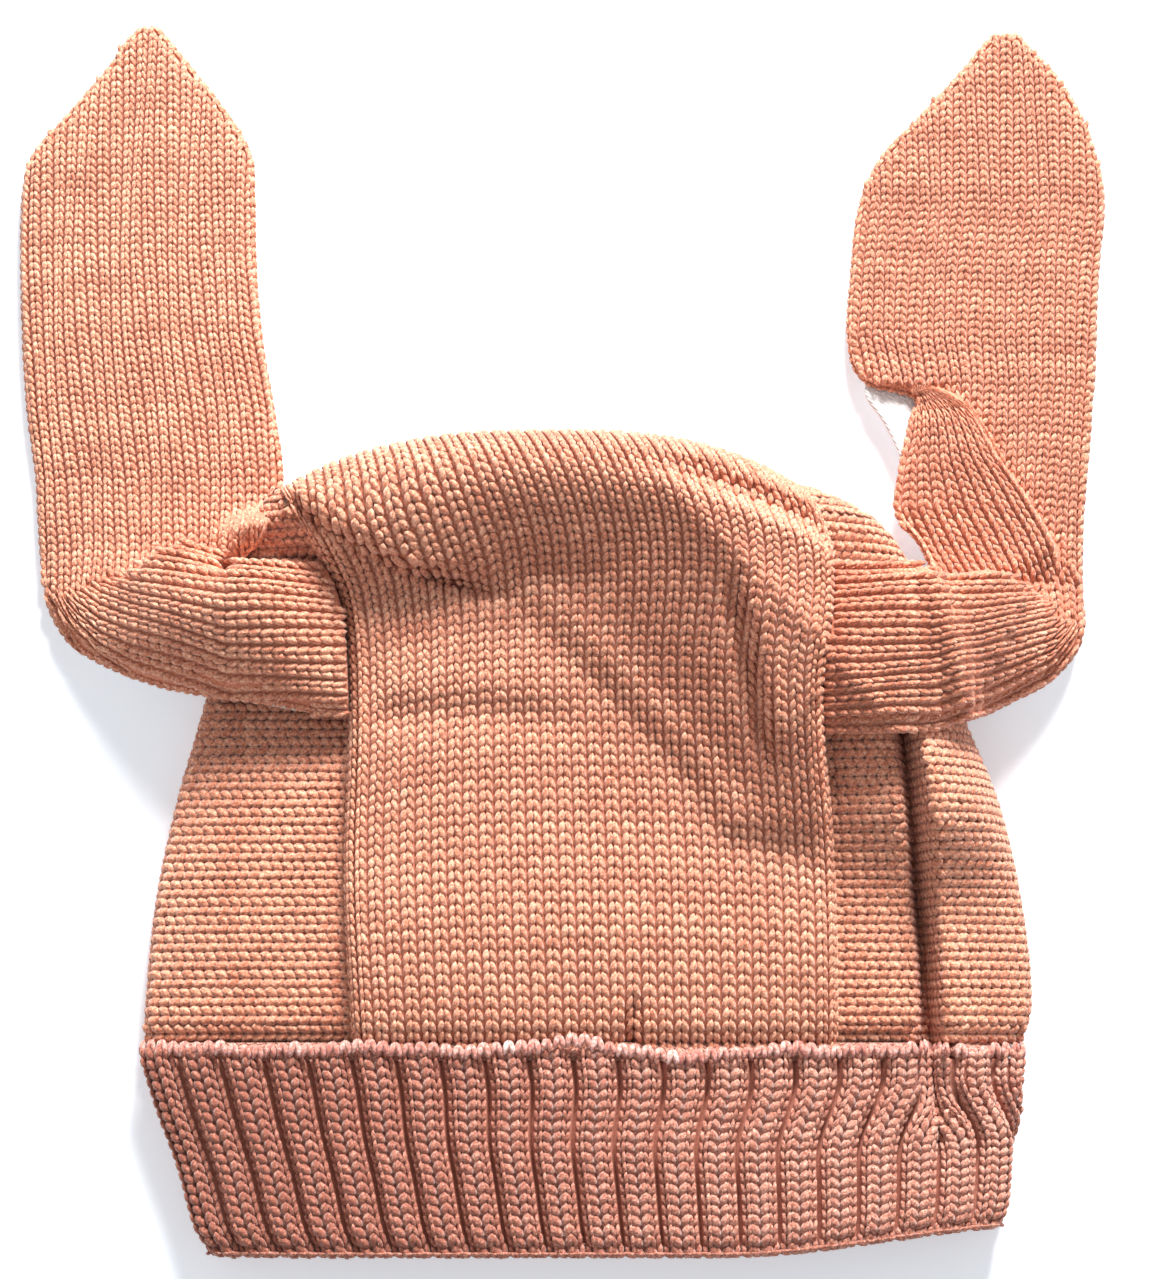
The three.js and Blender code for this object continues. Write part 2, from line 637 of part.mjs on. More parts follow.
function earOuter(ear) {
  const raise = (point, row, u, cornerX, cornerY) => {
    const arch = earPuff * row.puff * (4 * u * (1 - u)) ** archSquareness;
    const across = ear.side * (point.x - cornerX);
    const shift = foldShift(ear.folds, across, point.y - cornerY, earWidth, earWidth);
    const edge = (4 * u * (1 - u)) ** foldEdge;
    const base = point.z + liningWall + earGap + earWall;
    return new THREE.Vector3(
      point.x + ear.side * shift.x * edge,
      point.y + shift.y * edge,
      base + arch + shift.z * edge,
    );
  };
  return earSheet(ear, 10, earWall, raise);
}

function earLining(ear) {
  const raise = (point, row, u) => {
    const peek = row.peekOut * Math.max(0, 2 * u - 1) - row.peekIn * Math.max(0, 1 - 2 * u);
    return new THREE.Vector3(point.x + ear.side * peek * earWidth, point.y, point.z + liningWall);
  };
  return earSheet(ear, 4, liningWall, raise);
}

const knit = new THREE.MeshStandardMaterial({ color: 0xcb917a, roughness: 0.95, metalness: 0 });
const rib = new THREE.MeshStandardMaterial({ color: 0xb97c68, roughness: 0.95, metalness: 0 });
const seamYarn = new THREE.MeshStandardMaterial({ color: 0xdb9a92, roughness: 0.9, metalness: 0 });
const white = new THREE.MeshStandardMaterial({ color: 0xeeeae6, roughness: 0.95, metalness: 0 });

const hat = new THREE.Group();
function add(name, geometry, material) {
  const mesh = new THREE.Mesh(geometry, material);
  mesh.name = name;
  hat.add(mesh);
}
add("centre_panel", centrePanel(), knit);
add("side_panel_left", sidePanel(-1), knit);
add("side_panel_right", sidePanel(1), knit);
add("ribbed_band", ribbedBand(), rib);
add("linking_seam", linkingSeam(), seamYarn);
add("ear_left_outer", earOuter(leftEar), knit);
add("ear_left_lining", earLining(leftEar), white);
add("ear_right_outer", earOuter(rightEar), knit);
add("ear_right_lining", earLining(rightEar), white);

// The origin is on the table under the middle of the whole hat.
const whole = new THREE.Box3().setFromObject(hat);
const middle = whole.getCenter(new THREE.Vector3());
hat.position.set(-middle.x, -middle.y, -whole.min.z);

export default hat;
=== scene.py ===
import math

import bpy
import numpy as np
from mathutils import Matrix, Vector
from mathutils.bvhtree import BVHTree


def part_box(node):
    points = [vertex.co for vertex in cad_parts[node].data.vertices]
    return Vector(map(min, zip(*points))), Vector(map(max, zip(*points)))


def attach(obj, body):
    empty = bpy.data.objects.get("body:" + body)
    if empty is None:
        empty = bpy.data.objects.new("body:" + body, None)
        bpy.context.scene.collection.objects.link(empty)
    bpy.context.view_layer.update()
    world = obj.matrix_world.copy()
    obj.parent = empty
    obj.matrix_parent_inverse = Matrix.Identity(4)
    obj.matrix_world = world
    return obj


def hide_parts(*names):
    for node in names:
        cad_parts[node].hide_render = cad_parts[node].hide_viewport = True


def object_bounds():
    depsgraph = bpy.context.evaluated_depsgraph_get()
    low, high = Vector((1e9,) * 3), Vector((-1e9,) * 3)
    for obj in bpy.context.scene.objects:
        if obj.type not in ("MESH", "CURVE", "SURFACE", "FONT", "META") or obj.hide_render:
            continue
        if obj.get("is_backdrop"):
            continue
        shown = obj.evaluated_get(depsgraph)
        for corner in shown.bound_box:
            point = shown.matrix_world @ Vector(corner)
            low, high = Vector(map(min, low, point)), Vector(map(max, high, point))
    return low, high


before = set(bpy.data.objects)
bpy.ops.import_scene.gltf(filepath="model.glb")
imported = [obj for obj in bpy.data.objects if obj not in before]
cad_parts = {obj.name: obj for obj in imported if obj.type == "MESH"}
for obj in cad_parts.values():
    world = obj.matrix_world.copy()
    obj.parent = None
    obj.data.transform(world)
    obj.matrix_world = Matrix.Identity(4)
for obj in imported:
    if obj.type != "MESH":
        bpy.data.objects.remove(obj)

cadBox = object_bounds()

hat = {
    "crownWidth": 190, "crownLength": 131, "panelWidth": 103, "bandLength": 42.5, "bandRound": 390,
    "knitWall": 2.4, "ribWall": 2.2, "ribDepth": 1.6, "ribCount": 42,
    "bandLoft": 16.5, "mouthLoft": 14, "crownLoft": 39, "foldHeight": 6, "noseHeight": 15,
    "panelStep": 10, "edgeRoll": 3.6, "seamWidth": 2.4, "seamRise": 1.2,
    "seamLeft": 0.985, "seamRight": 0.965, "dipDepth": 1.8, "dipReach": 7,
    "earWidth": 51, "earStand": 125, "earWall": 2.1, "liningWall": 1.6, "earGap": 0.6, "earPuff": 7,
    "creaseDepth": 12, "seamLap": 0.4, "endThinning": 0.35, "pieceGap": 0.45,
}
halfCrown = hat["crownWidth"] / 2
halfPanel = hat["panelWidth"] / 2
crownLong = hat["crownLength"]
sideNames = {-1: "left", 1: "right"}
stitchWide, stitchHigh = 2.45, 1.63  # one wale and one course of the plain knit
pileDepth = 0.75  # what the stitches stand over the cloth that carries them
pixelSize = 0.2142  # one pixel of the photograph at the table
smallest = 1e-9

seamBox = [np.array(corner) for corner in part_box("linking_seam")]
seamMiddle = (seamBox[0] + seamBox[1]) / 2 * 1000
seamOff = halfCrown * (hat["seamRight"] - hat["seamLeft"]) / 2
origin = np.array([seamMiddle[0] - seamOff, seamMiddle[1], 0.0])

# The camera first: the photograph's own angle, from the front and almost straight above.
viewPoint = {"middle": (-0.32, 87.3, 12), "distance": 650, "elevation": 82, "pictureHeight": 1279 * pixelSize}


def placeCamera():
    camera = bpy.data.objects.new("viewCamera", bpy.data.cameras.new("viewCamera"))
    bpy.context.scene.collection.objects.link(camera)
    target = (np.array(viewPoint["middle"]) + origin) / 1000
    tilt = math.radians(viewPoint["elevation"])
    away = np.array([0, -math.cos(tilt), math.sin(tilt)]) * viewPoint["distance"] / 1000
    camera.location = target + away
    camera.rotation_euler = Vector(-away).to_track_quat("-Z", "Y").to_euler()
    camera.data.sensor_fit = "VERTICAL"
    camera.data.angle_y = 2 * math.atan(viewPoint["pictureHeight"] / 2 / viewPoint["distance"])
    camera.data.clip_start = 0.01
    bpy.context.scene.camera = camera


placeCamera()
print("camera placed")


# A table's rows from the names of its columns. A row may leave out its last columns, which are then 0.
def table(columns, *rows):
    return [dict(zip(columns.split(), row)) for row in rows]


# The hat's shape. Outlines and seams are shares of half a width, along a share of a length.
crownOutline = table(
    "up left right", (0.0, 0.985, 0.965), (0.08, 0.985, 0.995), (0.25, 0.965, 0.975), (0.4, 0.925, 0.93),
    (0.55, 0.87, 0.85), (0.68, 0.825, 0.8), (0.78, 0.785, 0.74), (0.86, 0.755, 0.65), (0.92, 0.7, 0.49))
panelSeams = table(
    "up left right", (0.0, 0.95, 1.02), (0.3, 0.985, 1.01), (0.6, 0.975, 0.955), (0.78, 1.01, 1.0),
    (0.87, 1.1, 0.99), (1.0, 1.27, 0.87))
crownHeights = table(
    "up rise step", (0.0, 0.0, 0.32), (0.15, 0.12, 0.34), (0.35, 0.18, 0.4), (0.5, 0.22, 0.6),
    (0.62, 0.27, 0.95), (0.74, 0.42, 1.0), (0.82, 0.76, 0.95), (0.89, 1.06, 0.5),
    (0.94, 1.2, 0.2), (1.0, 1.2, 0.0))
bandOutline = table(
    "down left right", (0.0, 0.985, 0.96), (0.25, 0.95, 0.95), (0.55, 0.9, 0.94), (0.83, 0.865, 0.93),
    (1.0, 0.83, 0.915))

# Folds run along a path of points. The lip is on the left of the way, and leans over the crease.
foldColumns = "path depth lip width reach fadeIn fadeOut lean flip"
panelFolds = table(
    foldColumns,
    # the deep crease on the left, with the roll hanging over it
    ([(-0.66, 0.885), (-0.5, 0.83), (-0.4, 0.79), (-0.24, 0.745), (-0.12, 0.725)],
     0.95, 0.06, 0.05, 0.34, 0.02, 0.6, 0.12),
    # the foot of the slump, down to the right seam
    ([(-0.21, 0.77), (-0.04, 0.665), (0.135, 0.535), (0.25, 0.445), (0.315, 0.36), (0.54, 0.33)],
     0.0, 0.24, 0.08, 1.2, 0.25, 0.15),
    # a soft step across the middle
    ([(-0.5, 0.545), (-0.2, 0.55), (0.08, 0.53)], 0.1, 0.14, 0.085, 0.3, 0.15, 0.35),
    # the dent beside the right seam
    ([(0.31, 0.76), (0.345, 0.64), (0.37, 0.55), (0.41, 0.43)], 0.26, 0.16, 0.045, 0.16, 0.25, 0.3),
    # the valley behind the ridge at the back
    ([(0.66, 0.765), (0.48, 0.84), (0.346, 0.88), (0.2, 0.915), (0.0, 0.94)],
     0.34, 0.2, 0.05, 0.2, 0.05, 0.55, -0.02),
    # a pucker above the seam
    ([(0.11, 0.1), (0.095, 0.0)], 0.22, 0.0, 0.028, 0.1, 0.5, 0.05),
)
rightPleat = table(
    foldColumns,
    ([(0.69, 0.6), (0.734, 0.32), (0.757, 0.16), (0.765, -0.01)], 0.95, 0.3, 0.034, 0.3, 0.12, 0.01),
)
bandPleat = table(
    foldColumns,
    ([(0.765, 0.03), (0.775, -0.1), (0.79, -0.2)], 0.85, 0.12, 0.045, 0.2, 0.01, 0.7),
)


def lerp(low, high, share):
    return low + (high - low) * share


def smooth(value, low, high):
    share = np.clip((value - low) / (high - low), 0, 1)
    return share * share * (3 - 2 * share)


def lengthOf(vectors):
    return np.linalg.norm(vectors, axis=-1, keepdims=True) + smallest


# A table's column at a place on its key column, on a smooth curve through the rows.
def readTable(rows, key, place, column):
    keys = np.array([row[key] for row in rows], float)
    values = np.array([row.get(column, 0.0) for row in rows], float)
    return alongRows(keys, values, place)


def alongRows(keys, values, place):
    place = np.clip(np.asarray(place, float), keys[0], keys[-1])
    i = np.clip(np.searchsorted(keys, place, side="left") - 1, 0, len(keys) - 2)
    before = np.clip(np.arange(len(keys)) - 1, 0, None)
    after = np.clip(np.arange(len(keys)) + 1, None, len(keys) - 1)
    slope = (values[after] - values[before]) / (keys[after] - keys[before])
    span = keys[i + 1] - keys[i]
    t = (place - keys[i]) / span
    return (
        (2 * t**3 - 3 * t**2 + 1) * values[i] + (t**3 - 2 * t**2 + t) * slope[i] * span
        + (3 * t**2 - 2 * t**3) * values[i + 1] + (t**3 - t**2) * slope[i + 1] * span
    )


# The nearest place on a path: how far off it is, on which side, at what share of the way, and the way there.
def nearestOn(path, x, y, scaleX, scaleY):
    ends = [np.array([px * scaleX, py * scaleY]) for px, py in path]
    whole = sum(np.linalg.norm(b - a) for a, b in zip(ends, ends[1:]))
    nearest = [np.full(x.shape, start) for start in (np.inf, 0.0, 0.0, 0.0, 0.0)]
    done = 0
    for a, b in zip(ends, ends[1:]):
        length = np.linalg.norm(b - a)
        way = (b - a) / length
        onWay = np.clip((x - a[0]) * way[0] + (y - a[1]) * way[1], 0, length)
        away = np.hypot(x - a[0] - way[0] * onWay, y - a[1] - way[1] * onWay)
        across = way[0] * (y - a[1]) - way[1] * (x - a[0])
        closer = away < nearest[0]
        found = (away, across, (done + onWay) / whole, way[0], way[1])
        nearest = [np.where(closer, new, old) for new, old in zip(found, nearest)]
        done += length
    return nearest


# How a table of folds moves the points x, y.
def foldShift(folds, x, y, scaleX, scaleY):
    x, y = np.broadcast_arrays(np.asarray(x, float), np.asarray(y, float))
    shift = np.zeros(x.shape + (3,))
    for fold in folds:
        away, across, share, wayX, wayY = nearestOn(fold["path"], x, y, scaleX, scaleY)
        side = -1 if fold.get("flip") else 1
        width, reach = fold["width"] * hat["earWidth"], fold["reach"] * hat["earWidth"]
        signed = side * np.sign(across) * away
        fade = smooth(share, 0, fold["fadeIn"]) * (1 - smooth(share, 1 - fold["fadeOut"], 1))
        lip = smooth(signed, -width, width) * np.exp(-((np.maximum(signed, 0) / reach) ** 2))
        crease = np.exp(-((away / width) ** 2))
        shift[..., 2] += hat["creaseDepth"] * fade * (fold["lip"] * lip - fold["depth"] * crease)
        lean = -side * fold.get("lean", 0) * hat["earWidth"] * fade * lip
        shift[..., 0] += lean * -wayY
        shift[..., 1] += lean * wayX
    return shift


# The cloth dips to the linking seam.
def seamDip(y):
    return hat["dipDepth"] * (1 - smooth(y, 0, hat["dipReach"]))


def outlineX(side, y):
    return side * halfCrown * readTable(crownOutline, "up", y / crownLong, sideNames[side])


def seamX(side, share):
    return side * halfPanel * readTable(panelSeams, "up", share, sideNames[side])


dome = {"drop": 0.1, "offset": 0.1, "half": 0.62, "power": 2.6}


def domeY(x):
    away = np.abs((x / halfCrown + dome["offset"]) / dome["half"])
    return crownLong * (1 - dome["drop"] * away ** dome["power"])


panelStart = hat["seamWidth"] / 2 + hat["pieceGap"]


def stepAt(share):
    return hat["panelStep"] * readTable(crownHeights, "up", share, "step")


def panelShare(side, y):
    return (y - panelStart) / (domeY(seamX(side, 1)) - panelStart)


def seamAt(side, y):
    return seamX(side, panelShare(side, y))


# The body: how square its sections are, where the nose lifts, and where the left stays lower.
body = {"acrossPower": 4, "alongPower": 28, "underPower": 14, "underSink": 0.3, "noseFrom": (0.75, 0.97),
        "leftShare": 0.8, "leftAcross": (-0.6, 0.3), "leftAlong": (0.5, 0.75), "slumpAlong": (0.18, 0.4)}
# The slumped bulk: a slope that climbs from its foot towards the far right corner.
slumpSlope = {"foot": (10.0, 74.5), "towards": (0.72, 0.69), "rise": 0.64, "start": 19.0, "least": -30,
              "most": 34.0}


def rimAt(x, y):
    left, right = outlineX(-1, y), outlineX(1, y)
    across = np.clip(np.abs((2 * x - left - right) / (right - left)), 0, 1)
    along = np.clip(y / domeY(np.clip(x, seamX(-1, 1), seamX(1, 1))), 0, 1)
    return across, along, lerp(hat["foldHeight"], hat["noseHeight"], smooth(along, *body["noseFrom"]))


def slumpLoft(x, y):
    (footX, footY), (towardsX, towardsY) = slumpSlope["foot"], slumpSlope["towards"]
    away = (x - footX) * towardsX + (y - footY) * towardsY
    return slumpSlope["start"] + slumpSlope["rise"] * np.clip(away, slumpSlope["least"], slumpSlope["most"])


def bodyTop(x, y):
    across, along, height = rimAt(x, y)
    up = y / crownLong
    lower = lerp(body["leftShare"], 1.0, smooth(x / halfCrown, *body["leftAcross"]))
    rise = readTable(crownHeights, "up", up, "rise") * lerp(1, lower, smooth(up, *body["leftAlong"]))
    loft = lerp(hat["bandLoft"], hat["crownLoft"], rise)
    loft = lerp(loft, higher(loft, slumpLoft(x, y)), smooth(up, *body["slumpAlong"]))
    section = (1 - across ** body["acrossPower"]) * (1 - along ** body["alongPower"])
    return height + (loft - height) * np.sqrt(section)


def bodyUnder(x, y):
    across, along, height = rimAt(x, y)
    power = body["underPower"]
    return np.maximum(0, height * (1 - np.sqrt((1 - across**power) * (1 - along**power))) - body["underSink"])


def higher(a, b, blend=2.0):
    return (a + b + np.sqrt((a - b) ** 2 + blend**2) - blend) / 2


sideLook = {"flatten": 0.62, "waleWide": 3.86, "courseHigh": 2.36, "measuredAt": 0.45, "knittedTo": 1.45,
            "tone": 0.4, "streak": 0.06, "toneSpread": 0.06, "end": 0.914, "closesFrom": 0.75,
            "pleatEase": 0.12, "lowest": 3.2, "rimFrom": 0.985, "insetPower": 6, "underRows": 12}


def sideTop(side, x, y, pleated=True):
    seam = seamAt(side, y)
    out = np.clip((x - seam) / (outlineX(side, y) - seam), 0, 1)
    pleat = foldShift(rightPleat, x, y, halfCrown, crownLong)[..., 2] if side > 0 and pleated else 0
    top = bodyTop(x, y)
    level = top - stepAt(panelShare(side, y)) * (1 - out * out) - 2 * hat["pieceGap"]
    level = higher(np.minimum(hat["foldHeight"] + hat["knitWall"], top), level)
    eased = pleat * smooth(1 - out, 0, sideLook["pleatEase"])
    return np.maximum(level + eased - seamDip(y), sideLook["lowest"])

def stacked(x, y, z):
    return np.stack(np.broadcast_arrays(x, y, z), -1).astype(float)


# Centre panel: along is 0 at the band, 1 at the outermost line of the roll and 2 back at the band;
# across is 0 to 1, with a turned edge of rollZone at each end.
centreLook = {"wales": 33, "rolledWales": 2.2, "courseHigh": 2.5, "crownCourse": 2.05, "knittedTo": 1.36,
              "underRows": 24, "frontShare": 0.52, "tone": 0.5, "streak": 0.07, "slumpPaintedShade": -0.1,
              "baseWall": 1.3}
rollZone = centreLook["rolledWales"] / centreLook["wales"]

def centreSurface(along, across):
    rollShare = hat["edgeRoll"] / hat["panelWidth"]
    fromEdge = np.minimum(across, 1 - across)
    turn = np.clip(1 - fromEdge / rollZone, 0, 1) * math.pi / 2
    middle = lerp(rollShare, 1 - rollShare, (across - rollZone) / (1 - 2 * rollZone))
    inset = rollShare * (1 - np.sin(turn))
    at = np.where(fromEdge < rollZone, np.where(across < 0.5, inset, 1 - inset), middle)
    share = np.sin(np.minimum(along, 2 - along) * math.pi / 2)
    x = lerp(seamX(-1, share), seamX(1, share), at)
    y = lerp(panelStart, domeY(lerp(seamX(-1, 1), seamX(1, 1), at)), share)
    calm = smooth(1 - share, 0, 0.1) * np.cos(turn)
    shift = foldShift(panelFolds, x, y, halfCrown, crownLong) * calm[..., None]
    level = bodyTop(x, y) - stepAt(share) * (1 - np.cos(turn)) - seamDip(y)
    top = stacked(x, y, level) + shift
    return np.where((along <= 1)[..., None], top, stacked(x, y, bodyUnder(x, y)))


# Side panel: around is 0 at the seam, 1 at the outermost line of the fold and 2 back below the seam.
def sideSurface(side, y, around, inset=0.0):
    end = sideLook["end"] * crownLong
    closing = smooth((y - panelStart) / (end - panelStart), sideLook["closesFrom"], 1)
    inset = inset * lerp(1, hat["endThinning"], closing)
    seam, out = seamAt(side, y), outlineX(side, y)
    edge = seam - side * hat["seamLap"]
    underEdge = seam + side * 2 * hat["pieceGap"]
    rim = rimAt(out, y)[2]
    share = np.sin(np.minimum(around, 2 - around) * math.pi / 2)
    x = np.where(around <= 1, lerp(edge, out, share), lerp(underEdge, out, share))
    inward = x - side * inset * np.clip((x - edge) / (out - edge), 0, 1) ** sideLook["insetPower"]
    over = lerp(sideTop(side, x, y) - inset, rim, smooth(share, sideLook["rimFrom"], 1))
    under = np.minimum(rim, bodyUnder(x, y) + inset)
    return stacked(inward, y, np.where(around <= 1, over, under))


# Places along a line with an even spacing between its points, or one that changes to lastSpacing.
def evenPlaces(line, low, high, spacing, lastSpacing=None):
    dense = np.linspace(low, high, 900)
    gaps = np.linalg.norm(np.diff(line(dense), axis=0), axis=1)
    share = np.cumsum(gaps) / gaps.sum()
    count = np.concatenate([[0], np.cumsum(gaps / lerp(spacing, lastSpacing or spacing, share))])
    return np.interp(np.linspace(0, count[-1], max(1, round(count[-1])) + 1), count, dense)


# The grid one wall inside a grid of outer points, square to the surface.
def insideOf(grid, wall, around=False):
    if around:
        across = np.roll(grid, -1, 1) - np.roll(grid, 1, 1)
    else:
        across = np.gradient(grid, axis=1)
    along = np.gradient(grid, axis=0)
    normal = np.cross(across, along)
    normal /= lengthOf(normal)
    return grid - normal * wall


def inFrame(points):
    return (points + origin) / 1000


# A closed sheet of cloth between two grids, with a UV map that counts wales and courses.
def clothSheet(name, cloth, outer, inner, cell, around=False, shade=None):
    rows, columns = outer.shape[:2]
    under, spans, steps = rows * columns, np.arange(columns - (not around)), np.arange(rows - 1)
    after = (spans + 1) % columns
    r, c = (grid.ravel() for grid in np.meshgrid(steps, spans, indexing="ij"))
    turns = ((0, 0), (0, 1), (1, 1), (1, 0))
    faces = [np.stack([(r + down) * columns + (c + right) % columns for down, right in turns], -1)]
    places = [np.stack([np.stack([c + right, r + down], -1) for down, right in turns], 1)]
    faces.append(faces[0][:, ::-1] + under)
    places.append(places[0][:, ::-1])

    def rim(first, second, at, flip):
        faces.append(np.stack([first, under + first, under + second, second], -1))
        places.append(np.stack([at[:, 0], at[:, 0] + flip, at[:, 1] + flip, at[:, 1]], 1))

    def pairs(*ends):
        return np.stack([np.stack(end, -1) for end in ends], 1)

    start = pairs((spans, 0 * spans), (spans + 1, 0 * spans))
    rim(spans, after, start, np.array([0, -1]))
    last = (rows - 1) * columns
    rim(last + after, last + spans, start[:, ::-1] + np.array([0, rows - 1]), np.array([0, 1]))
    if not around:
        left = pairs((0 * steps, steps + 1), (0 * steps, steps))
        rim((steps + 1) * columns, steps * columns, left, np.array([-1, 0]))
        right = left[:, ::-1] + np.array([columns - 1, 0])
        rim(steps * columns + columns - 1, (steps + 1) * columns + columns - 1, right, np.array([1, 0]))
    points = inFrame(np.concatenate([outer.reshape(-1, 3), inner.reshape(-1, 3)]))
    points[:, 2] = np.maximum(points[:, 2], 0)
    faces, places = np.concatenate(faces), np.concatenate(places)
    a, b, c, d = (points[faces[:, i]] for i in range(4))
    if (a * (np.cross(b, c) + np.cross(c, d))).sum() < 0:
        faces, places = faces[:, ::-1], places[:, ::-1]
    mesh = bpy.data.meshes.new(name)
    mesh.from_pydata(points.tolist(), [], faces.tolist())
    mesh.polygons.foreach_set("use_smooth", np.ones(len(faces), bool))
    weave = mesh.uv_layers.new(name="weave")
    weave.data.foreach_set("uv", (places.reshape(-1, 2) * np.array(cell)).ravel())
    # Painted shade: the outer side is marked to be coloured dark where stitches cover it.
    shadeUnderStitches = np.zeros(2 * under, np.float32)
    shadeUnderStitches[:under] = 1.0 if shade is None else shade.ravel()
    mesh.attributes.new("shadeUnderStitches", "FLOAT", "POINT").data.foreach_set("value", shadeUnderStitches)
    mesh.materials.append(cloth)
    mesh.update()
    return addPiece(name, mesh)


def addPiece(name, mesh):
    piece = bpy.data.objects.new(name, mesh)
    bpy.context.scene.collection.objects.link(piece)
    return piece


# Seeds: one point for each stitch, with its turn, its size and its tone. The stitch climbs along up.
def seedsFrom(centre, up, normal, wide, lift=0.0):
    length = lengthOf(up)
    y = up / length
    normal = normal - (normal * y).sum(-1, keepdims=True) * y
    normal /= lengthOf(normal)
    x = np.cross(y, normal)
    broad = np.broadcast_to(np.asarray(wide, float), length.shape) / stitchWide
    turn = np.stack([np.arctan2(y[..., 2], normal[..., 2]), -np.arcsin(np.clip(x[..., 2], -1, 1)),
                     np.arctan2(x[..., 1], x[..., 0])], -1)
    size = np.concatenate([broad, length / stitchHigh, np.sqrt(broad * length / stitchHigh)], -1)
    place = centre + normal * lift
    return dict(place=place.reshape(-1, 3), turn=turn.reshape(-1, 3), size=size.reshape(-1, 3))


def seedsOn(surface, along, across, stepAlong, stepAcross, lift=0.0):
    half, beside = np.asarray(stepAlong) / 2, np.asarray(stepAcross) / 2
    up = surface(along + half, across) - surface(along - half, across)
    wide = surface(along, across + beside) - surface(along, across - beside)
    normal = np.cross(wide, up)
    flat = np.linalg.norm(normal, axis=-1, keepdims=True) / lengthOf(up)
    return seedsFrom(surface(along, across), up, normal, flat, lift=lift)


# Lets points of a plan fall on a grid of cloth: their heights, and the region of the cell they meet.
def fallOn(grid, regions):
    rows, columns = grid.shape[:2]
    r, c = np.meshgrid(np.arange(rows - 1), np.arange(columns - 1), indexing="ij")
    first = (r * columns + c).ravel()
    cells = np.stack([first, first + 1, first + columns + 1, first + columns], -1)
    tree = BVHTree.FromPolygons(grid.reshape(-1, 3).tolist(), cells.tolist())
    kinds = regions[:-1, :-1].ravel()

    def fall(x, y):
        height, kind = np.full(x.shape, np.nan), np.full(x.shape, -1)
        for i in np.ndindex(x.shape):
            spot, _, cell, _ = tree.ray_cast(Vector((x[i], y[i], 200.0)), Vector((0, 0, -1)))
            if spot is not None:
                height[i], kind[i] = spot.z, kinds[cell]
        return height, kind
    return fall


# Seeds of a plan of wales and courses laid over the cloth, kept where the cloth's region is the wanted one.
def seedsDraped(fall, plan, a, b, stepA, stepB, region, steepest=0.9):
    x, y = plan(a, b)
    height, kind = fall(x, y)
    keep = kind == region
    a, b, centre = a[keep], b[keep], np.stack([x[keep], y[keep], height[keep]], -1)

    def across(shiftA, shiftB):
        ends = []
        for way in (-0.5, 0.5):
            ex, ey = plan(a + way * shiftA, b + way * shiftB)
            ez, _ = fall(ex, ey)
            flat = np.hypot(ex - centre[:, 0], ey - centre[:, 1]) * steepest
            ez = np.where(np.isnan(ez), centre[:, 2], ez)
            ends.append(np.stack([ex, ey, np.clip(ez, centre[:, 2] - flat, centre[:, 2] + flat)], -1))
        return ends[1] - ends[0]
    up, wide = across(stepA, 0), across(0, stepB)
    normal = np.cross(wide, up)
    normal *= np.sign(normal[:, 2:3])
    breadth = np.linalg.norm(normal, axis=-1, keepdims=True)
    breadth = breadth / lengthOf(up)
    return seedsFrom(centre, up, normal, breadth), a, b


def joined(*parts):
    return {key: np.concatenate([part[key] for part in parts]) for key in parts[0]}


# The stitches: two plump legs that meet at the foot. Sizes are for a full-sized cell, in millimetres.
stitchLooks = {"plainStitch": dict(foot=0.3, top=0.98, low=-1.22, high=1.06, legWidth=0.55, legHeight=0.4,
                                   footDepth=-0.5, bulge=0.2, topDepth=-0.02),
               "ribStitch": dict(foot=0.17, top=0.88, low=-1.2, high=1.05, legWidth=0.56, legHeight=0.42,
                                 footDepth=-0.44, bulge=0.24, topDepth=-0.06),
               "chainStitch": dict(foot=0.1, top=0.98, low=-1.3, high=1.0, legWidth=0.62, legHeight=0.55,
                                   footDepth=-0.3, bulge=0.36, topDepth=-0.1)}
stitchLooks["sideStitch"] = dict(stitchLooks["ribStitch"], legWidth=0.68, foot=0.1, top=0.96)


def stitchShape(name, look, rings=3, corners=4):
    points, faces, leg = [], [], []
    last = (rings - 1) * corners
    for side in (-1, 1):
        first = len(points)

        def spine(t):
            x = lerp(look["foot"], look["top"], t ** 0.8) * side
            z = lerp(look["footDepth"], look["topDepth"], t) + look["bulge"] * math.sin(math.pi * t)
            return np.array([x, lerp(look["low"], look["high"], t), z])

        for ring in range(rings):
            t = (ring + 0.7) / (rings + 0.4)
            middle, way = spine(t), spine(t + 0.05) - spine(t - 0.05)
            way /= np.linalg.norm(way)
            flat = np.array([way[1], -way[0], 0]) / math.hypot(way[0], way[1])
            up = np.cross(flat, way)
            swell = math.sin(math.pi * t) ** 0.45
            for corner in range(corners):
                angle = 2 * math.pi * corner / corners
                points.append(middle + flat * look["legWidth"] * swell * math.cos(angle)
                              + up * look["legHeight"] * swell * math.sin(angle))
        tips = len(points)
        points += [spine(0), spine(1)]
        leg += [side * 1.0] * (rings * corners + 2)
        ends = [(first + corner, first + (corner + 1) % corners) for corner in range(corners)]
        for ring in range(0, last, corners):
            faces += [[a + ring, b + ring, b + ring + corners, a + ring + corners] for a, b in ends]
        for a, b in ends:
            faces += [[tips, b, a], [tips + 1, a + last, b + last]]
    mesh = bpy.data.meshes.new(name)
    mesh.from_pydata((np.array(points) / 1000).tolist(), [], faces)
    mesh.polygons.foreach_set("use_smooth", [True] * len(faces))
    mesh.attributes.new("leg", "FLOAT", "POINT").data.foreach_set("value", leg)
    mesh.update()
    return addPiece(name, mesh)


# Adds a node with its settings, links or sets its inputs, and gives back its outputs.
def addNode(tree, kind, *values, at=None, **settings):
    node = tree.nodes.new(kind)
    for key, value in settings.items():
        setattr(node, key, value)
    for socket, value in [*enumerate(values), *(at or {}).items()]:
        if isinstance(value, bpy.types.NodeSocket):
            tree.links.new(value, node.inputs[socket])
        else:
            node.inputs[socket].default_value = value
    return node.outputs


